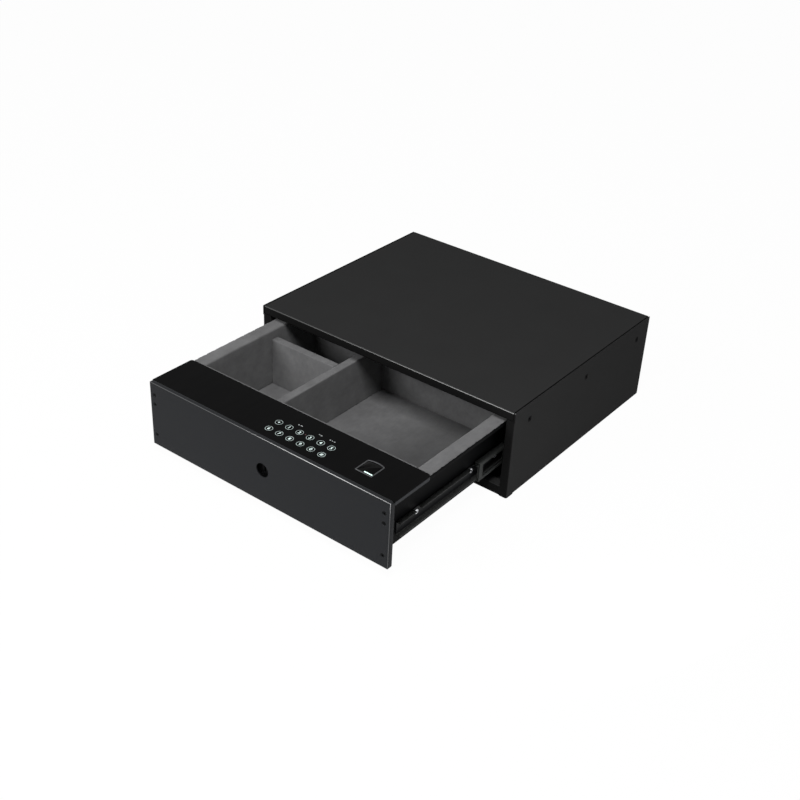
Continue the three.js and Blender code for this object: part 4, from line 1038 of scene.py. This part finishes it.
def ball_cage(kind, side, settings, strip_finish, ball_finish):
    """A slide's ball cage: its strip and its two rows of balls."""
    node = f"ball_cage_{kind}_{SIDE_NAMES[side]}"
    body = f"{kind}_cage_{SIDE_NAMES[side]}"
    low, high = node_box(node)
    radius = settings.outer_ball if kind == "outer" else settings.inner_ball
    nose = settings.nose if kind == "inner" else 0
    centre = (low + high) / 2
    row = (high - low)[2] / 2 - radius
    parts = cage_strip(side, low, high, row, nose, settings)
    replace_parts(piece(f"strip_{node}", parts, body, strip_finish), node)
    count = int((high - low)[1] / settings.ball_pitch)
    places = low[1] + settings.ball_pitch * (0.5 + np.arange(count))
    balls = [ball(np.array([centre[0], y, centre[2] + up * row]), radius) for y in places for up in SIDES]
    piece(f"balls_{node}", balls, body, ball_finish, 60)


# Stage


def place_at(made, place, axes):
    """Puts a camera or a lamp at a place, with its own x, y and z along three directions."""
    turned = Matrix(np.stack(axes, axis=1).tolist()).to_4x4()
    made.matrix_world = Matrix.Translation(place) @ turned


def set_camera(settings):
    """The photograph's camera: it looks along its azimuth and elevation and is rolled about that line."""
    azimuth, elevation, roll = settings.azimuth, settings.elevation, settings.roll
    level = np.array([math.cos(azimuth), math.sin(azimuth), 0])
    outwards = np.array([math.sin(azimuth), -math.cos(azimuth), 0])
    back = math.cos(elevation) * outwards + np.array([0, 0, math.sin(elevation)])
    upright = np.cross(back, level)
    right = math.cos(roll) * level + math.sin(roll) * upright
    up = math.cos(roll) * upright - math.sin(roll) * level
    data = bpy.data.cameras.new("photo camera")
    data.lens = settings.lens
    data.sensor_width = 36
    camera = added("photo camera", data)
    place_at(camera, settings.eye, [right, up, back])
    bpy.context.scene.camera = camera


def seen_rays(nodes):
    """1 for camera, glossy and transmission rays, and 0 for those that light other surfaces."""
    names = ("Is Camera Ray", "Is Glossy Ray", "Is Transmission Ray")
    camera, glossy, transmission = (nodes.node("ShaderNodeLightPath", {}, {}, name) for name in names)
    larger = {"operation": "MAXIMUM"}
    either = nodes.node("ShaderNodeMath", larger, {0: camera, 1: glossy})
    return nodes.node("ShaderNodeMath", larger, {0: either, 1: transmission})


def set_floor():
    """A pale floor: near white to the eye, and darker only where the object shades it."""
    reach = 6
    depth = 0.2 * MM
    whiteness = 0.975
    corners = np.array(rectangle((-reach, -reach), (reach, reach)), float)
    mesh = bpy.data.meshes.new("floor")
    mesh.from_pydata(lay("z", corners, -depth).tolist(), [], [(0, 1, 2, 3)])
    floor = added("floor", mesh)
    material = bpy.data.materials.new("white floor")
    material.use_nodes = True
    nodes = Nodes(material.node_tree)
    nodes.tree.nodes.clear()
    paper = nodes.node("ShaderNodeBsdfDiffuse", {}, {"Color": (0.9, 0.9, 0.9)})
    white = nodes.node("ShaderNodeEmission", {}, {"Color": (1, 1, 1)})
    mixed = nodes.node("ShaderNodeMixShader", {}, {0: seen_rays(nodes) * whiteness, 1: paper, 2: white})
    nodes.node("ShaderNodeOutputMaterial", {}, {"Surface": mixed})
    mesh.materials.append(material)


def set_world(settings):
    """Even light from all round, over a background that looks white."""
    world = bpy.data.worlds.new("studio")
    world.use_nodes = True
    nodes = Nodes(world.node_tree)
    nodes.tree.nodes.clear()
    kind = "ShaderNodeBackground"
    even = nodes.node(kind, {}, {"Color": (1, 1, 1), "Strength": settings.room_light})
    white = nodes.node(kind, {}, {"Color": (1, 1, 1), "Strength": 1.0})
    mixed = nodes.node("ShaderNodeMixShader", {}, {0: seen_rays(nodes), 1: even, 2: white})
    nodes.node("ShaderNodeOutputWorld", {}, {"Surface": mixed})
    bpy.context.scene.world = world


def set_lamp(name, place, target, size, watts):
    """A square soft lamp at a place, facing a target."""
    data = bpy.data.lights.new(name, "AREA")
    data.size = size
    data.energy = watts
    away = np.array(place, float) - np.array(target, float)
    away /= np.linalg.norm(away)
    across = np.cross([0, 1, 0.001], away)
    across /= np.linalg.norm(across)
    place_at(added(name, data), place, [across, np.cross(away, across), away])


def set_lamps(settings):
    """The main lamp, high on the right, a softer one at the front left, and a weak one beside the case."""
    set_lamp("main", (0.46, -1.00, 1.65), (0, -0.2, 0.05), 0.5, settings.main)
    set_lamp("front", (-0.70, -1.90, 1.10), (0, -0.25, 0.1), 0.9, settings.front)
    set_lamp("side", (0.50, -0.27, 0.06), (0.2, -0.15, 0.06), 0.12, settings.side)


# Operators


class SAFE_OT_stage(bpy.types.Operator):
    """Set the camera, the floor, the world and the lamps"""

    bl_idname = "safe.stage"
    bl_label = "Stage"

    def execute(self, context):
        settings = context.scene.safe_stage
        set_camera(settings)
        set_floor()
        set_world(settings)
        set_lamps(settings)
        context.scene.view_settings.view_transform = "Standard"
        return {"FINISHED"}


class SAFE_OT_lining(bpy.types.Operator):
    """Line the drawer's walls, rails and floor with felt"""

    bl_idname = "safe.lining"
    bl_label = "Felt lining"

    def execute(self, context):
        settings = context.scene.safe_felt
        finish = felt("grey felt", settings.grey)
        for side in SIDES:
            lining_side(side, settings, finish)
        lining_front(settings, finish)
        lining_back(settings, finish)
        # Painted light and shade: the floor felt is the felt made lighter, and darker towards the right wall
        right_wall = (("X", node_box("liner_floor")[1][0]),)
        lining_floor(settings, felt("floor felt with painted light and shade", shade(settings.grey, 1.14), [(right_wall, 0.62)]))
        return {"FINISHED"}


class SAFE_OT_dividers(bpy.types.Operator):
    """Cover the two dividers with felt"""

    bl_idname = "safe.dividers"
    bl_label = "Dividers"

    def execute(self, context):
        settings = context.scene.safe_felt
        finish = felt("divider felt", settings.grey)
        divider_board("long_divider", "y", settings, finish)
        divider_board("cross_divider", "x", settings, finish)
        return {"FINISHED"}


class SAFE_OT_keys(bpy.types.Operator):
    """Print the keys' black discs, lit rings and figures, and the small marks on the glass"""

    bl_idname = "safe.keys"
    bl_label = "Keys"

    def execute(self, context):
        settings = context.scene.safe_keys
        glass = node_box("touch_panel")[1][2]
        sunk = 0.01 * MM
        low, high = glass - sunk, glass + settings.print_height
        centres = key_centres()
        radius = settings.ring_radius
        prints = {
            "key_discs": (
                [bar_mark(centre, (2 * radius, 2 * radius), low, glass + sunk) for centre in centres],
                gloss_black("black ink", (0.0004, 0.0004, 0.0004), 0.5, 0.0),
            ),
            "key_rings": (
                [ring(centre, radius, settings.ring_width, low, high) for centre in centres],
                lit_print("lit ring", settings.lit, 0.15),
            ),
            "key_figures": (
                [figure(text, centre, settings, low, high) for text, centre in zip(FIGURES, centres)],
                lit_print("lit figure", shade(settings.lit, 1.5), 0.5),
            ),
            "key_marks": (
                print_marks(MARKS, low, high),
                lit_print("pale mark", (0.34, 0.36, 0.36), 0.05),
            ),
            "low_cell_light": (
                print_marks([LOW_CELL_MARK], low, high),
                lit_print("dim red light", (0.05, 0.008, 0.012), 0.2),
            ),
        }
        for name, (parts, finish) in prints.items():
            piece(name, parts, "drawer", finish)
        return {"FINISHED"}


class SAFE_OT_reader(bpy.types.Operator):
    """Make the finger reader: its rim, its black window and the lit strip"""

    bl_idname = "safe.reader"
    bl_label = "Finger reader"

    def execute(self, context):
        settings = context.scene.safe_reader
        glass = node_box("touch_panel")[1][2]
        low, high = node_box("fingerprint_bezel")
        shoulder = 1.8 * MM
        rim_depth = 3 * MM
        rim_low, rim_high = low[:2] + shoulder, high[:2] - shoulder
        outline = reader_outline(rim_low, rim_high, settings)
        rim = reader_rim(outline, glass - rim_depth, high[2], settings)
        chrome = plated_steel("satin dark chrome", (0.07, 0.071, 0.074), 0.34, "x")
        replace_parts(piece("reader_rim", [rim], "drawer", chrome), "fingerprint_bezel")
        window = reader_window(outline, glass, settings)
        black = gloss_black("black glass", (0.001, 0.001, 0.001), 0.08, 0.03)
        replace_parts(piece("reader_window", [window], "drawer", black), "fingerprint_sensor")
        front_middle = np.array([(rim_low + rim_high)[0] / 2, rim_low[1] + settings.rim])
        spot = front_middle + np.array([4.4, 1.9]) * MM
        size = (settings.strip_length, settings.strip_width)
        strip = bar_mark(spot, size, glass - 0.02 * MM, glass + 0.05 * MM)
        light = lit_print("reader light", (0.66, 0.86, 0.80), 0.8)
        piece("reader_light", [strip], "drawer", light)
        return {"FINISHED"}


class SAFE_OT_screws(bpy.types.Operator):
    """Turn the screws, with cross and socket recesses"""

    bl_idname = "safe.screws"
    bl_label = "Screws"

    def execute(self, context):
        settings = context.scene.safe_screws
        black = painted_steel("black screw", (0.0008, 0.0008, 0.0009), 0.02)
        oxide = plated_steel("black oxide", (0.006, 0.006, 0.0064), 0.15)
        zinc = plated_steel("bright zinc screw", (0.66, 0.67, 0.69), 0.22)
        kinds = (
            ("cover_screw", settings.cover_depth, countersunk, 1, "case", "black_screws", black),
            ("slide_screw", 0, pan_head, 0.95, "drawer", "zinc_steel", zinc),
        )
        for side in SIDES:
            for place in PLACES:
                for kind, sunk, profile, share, body, slot, finish in kinds:
                    node = f"{kind}_{SIDE_NAMES[side]}_{place}"
                    parts = [side_screw(node, side, sunk, profile, share, settings)]
                    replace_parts(piece(f"turned_{node}", parts, body, finish), node)
        piece("panel_screws", panel_screws(settings), "drawer", oxide)
        return {"FINISHED"}


class SAFE_OT_cages(bpy.types.Operator):
    """Make the slides' ball cages, each a folded strip with two rows of balls"""

    bl_idname = "safe.cages"
    bl_label = "Ball cages"

    def execute(self, context):
        settings = context.scene.safe_cages
        strip_finish = plated_steel("cage strip", (0.07, 0.073, 0.07), 0.4)
        ball_finish = plated_steel("polished ball", (0.62, 0.62, 0.64), 0.1)
        for kind in ("outer", "inner"):
            for side in SIDES:
                ball_cage(kind, side, settings, strip_finish, ball_finish)
        return {"FINISHED"}


class SAFE_OT_steelwork(bpy.types.Operator):
    """Paint the case, the drawer's steel and the slides, and round their edges"""

    bl_idname = "safe.steelwork"
    bl_label = "Steelwork"

    def execute(self, context):
        settings = context.scene.safe_steel
        thin = 1.1 * MM
        cover_low, cover_high = node_box("top_cover")
        panel_low, panel_high = node_box("front_panel")
        fold = (("Z", cover_high[2]), ("Y", cover_low[1]))
        panel_folds = [(plane, ("Y", panel_low[1])) for plane in (("Z", panel_high[2]), ("X", panel_high[0]))]
        deck_back_shade = (("Y", node_box("deck_frame")[1][1]),)
        slides = {kind: [f"slide_{kind}_{name}" for name in SIDE_NAMES.values()]
                  for kind in ("outer", "middle", "inner", "bracket")}
        front_paint = settings.front_paint
        # Painted light: the deck frame takes the front paint made lighter, for its lit skirt
        lit_deck_paint = shade(front_paint, 2.2)
        coats = (
            (["case_body", "case_back", "top_cover"],
             painted_steel("satin black paint", settings.paint, 0.005, [fold], case_shadows(thin))),
            (["front_panel"], painted_steel("front paint", front_paint, 0.1, panel_folds)),
            # Painted shade along the deck frame's back edge
            (["deck_frame"], painted_steel("deck paint with painted light and shade", lit_deck_paint, 0.1, dark=[(deck_back_shade, 0.95, thin)])),
            (["tray_shell", "bulkhead", *slides["bracket"]],
             painted_steel("tray paint", (0.004, 0.0041, 0.0044), 0.02)),
            (slides["outer"], painted_steel("black slide", (0.008, 0.0083, 0.009), 0.1)),
            (slides["middle"], painted_steel("grey slide", (0.03, 0.032, 0.031), 0.2)),
            # The inner slides' lighter flanges: ball wear and painted light
            (slides["inner"], raceway_steel("worn slide", (0.006, 0.0063, 0.007), (0.05, 0.052, 0.05))),
            (["touch_panel"], gloss_black("gloss panel", (0.0042, 0.0042, 0.0043), 0.1, 0.008)),
        )
        for nodes, coat in coats:
            dress(nodes, coat)
            soften(nodes, settings.edge)
        return {"FINISHED"}


class SAFE_OT_works(bpy.types.Operator):
    """Finish the lock, the bolt, the circuit board and the battery bay"""

    bl_idname = "safe.works"
    bl_label = "Lock works and battery bay"

    def execute(self, context):
        dress(["control_board"], circuit_board("solder mask", (0.012, 0.085, 0.036)))
        dress(["key_light_guide"], moulded_plastic("frosted guide", (0.6, 0.72, 0.7), 0.5))
        softened = (
            (["lock_cam", "lock_chassis", "lock_bolt", "motor_crank", "strike_bracket"],
             plated_steel("zinc plate", (0.5, 0.5, 0.52), 0.3, "z")),
            (["lock_cylinder", "lock_plug"], plated_steel("black lock body", (0.006, 0.006, 0.0065), 0.4)),
            (["bolt_motor"], moulded_plastic("motor case", (0.03, 0.03, 0.032), 0.4)),
            (["battery_holder", "battery_door"],
             moulded_plastic("black moulding", (0.014, 0.014, 0.015), 0.5)),
            ([f"cell_{number}" for number in (1, 2, 3, 4)],
             cell_sleeve("cell sleeve", (0.03, 0.10, 0.24), (0.5, 0.5, 0.52))),
        )
        for nodes, finish in softened:
            dress(nodes, finish)
            soften(nodes, context.scene.safe_steel.edge)
        return {"FINISHED"}


class SAFE_PT_sidebar(bpy.types.Panel):
    """The pieces of the safe, in the order they are made"""

    bl_idname = "SAFE_PT_sidebar"
    bl_label = "Drawer Safe"
    bl_space_type = "VIEW_3D"
    bl_region_type = "UI"
    bl_category = "Drawer Safe"

    def draw(self, context):
        for operator in OPERATORS:
            self.layout.operator(operator.bl_idname)
        for group in SETTINGS:
            box = self.layout.box()
            box.label(text=group)
            for name in SETTINGS[group].__annotations__:
                box.prop(getattr(context.scene, group), name)


SETTINGS = {
    "safe_felt": FeltSettings,
    "safe_keys": KeySettings,
    "safe_reader": ReaderSettings,
    "safe_screws": ScrewSettings,
    "safe_cages": CageSettings,
    "safe_steel": SteelSettings,
    "safe_stage": StageSettings,
}
OPERATORS = (
    SAFE_OT_stage,
    SAFE_OT_lining,
    SAFE_OT_dividers,
    SAFE_OT_keys,
    SAFE_OT_reader,
    SAFE_OT_screws,
    SAFE_OT_cages,
    SAFE_OT_steelwork,
    SAFE_OT_works,
)


def register():
    """Adds the settings, the operators and the panel."""
    for group, settings in SETTINGS.items():
        bpy.utils.register_class(settings)
        setattr(bpy.types.Scene, group, PointerProperty(type=settings))
    for made in (*OPERATORS, SAFE_PT_sidebar):
        bpy.utils.register_class(made)


def unregister():
    """Takes away what register added."""
    for made in (SAFE_PT_sidebar, *reversed(OPERATORS)):
        bpy.utils.unregister_class(made)
    for group, settings in SETTINGS.items():
        delattr(bpy.types.Scene, group)
        bpy.utils.unregister_class(settings)


def main():
    register()
    bpy.ops.safe.stage()
    bpy.ops.safe.lining()
    bpy.ops.safe.dividers()
    bpy.ops.safe.keys()
    bpy.ops.safe.reader()
    bpy.ops.safe.screws()
    bpy.ops.safe.cages()
    bpy.ops.safe.steelwork()
    bpy.ops.safe.works()
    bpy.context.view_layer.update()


if __name__ == "__main__":
    main()
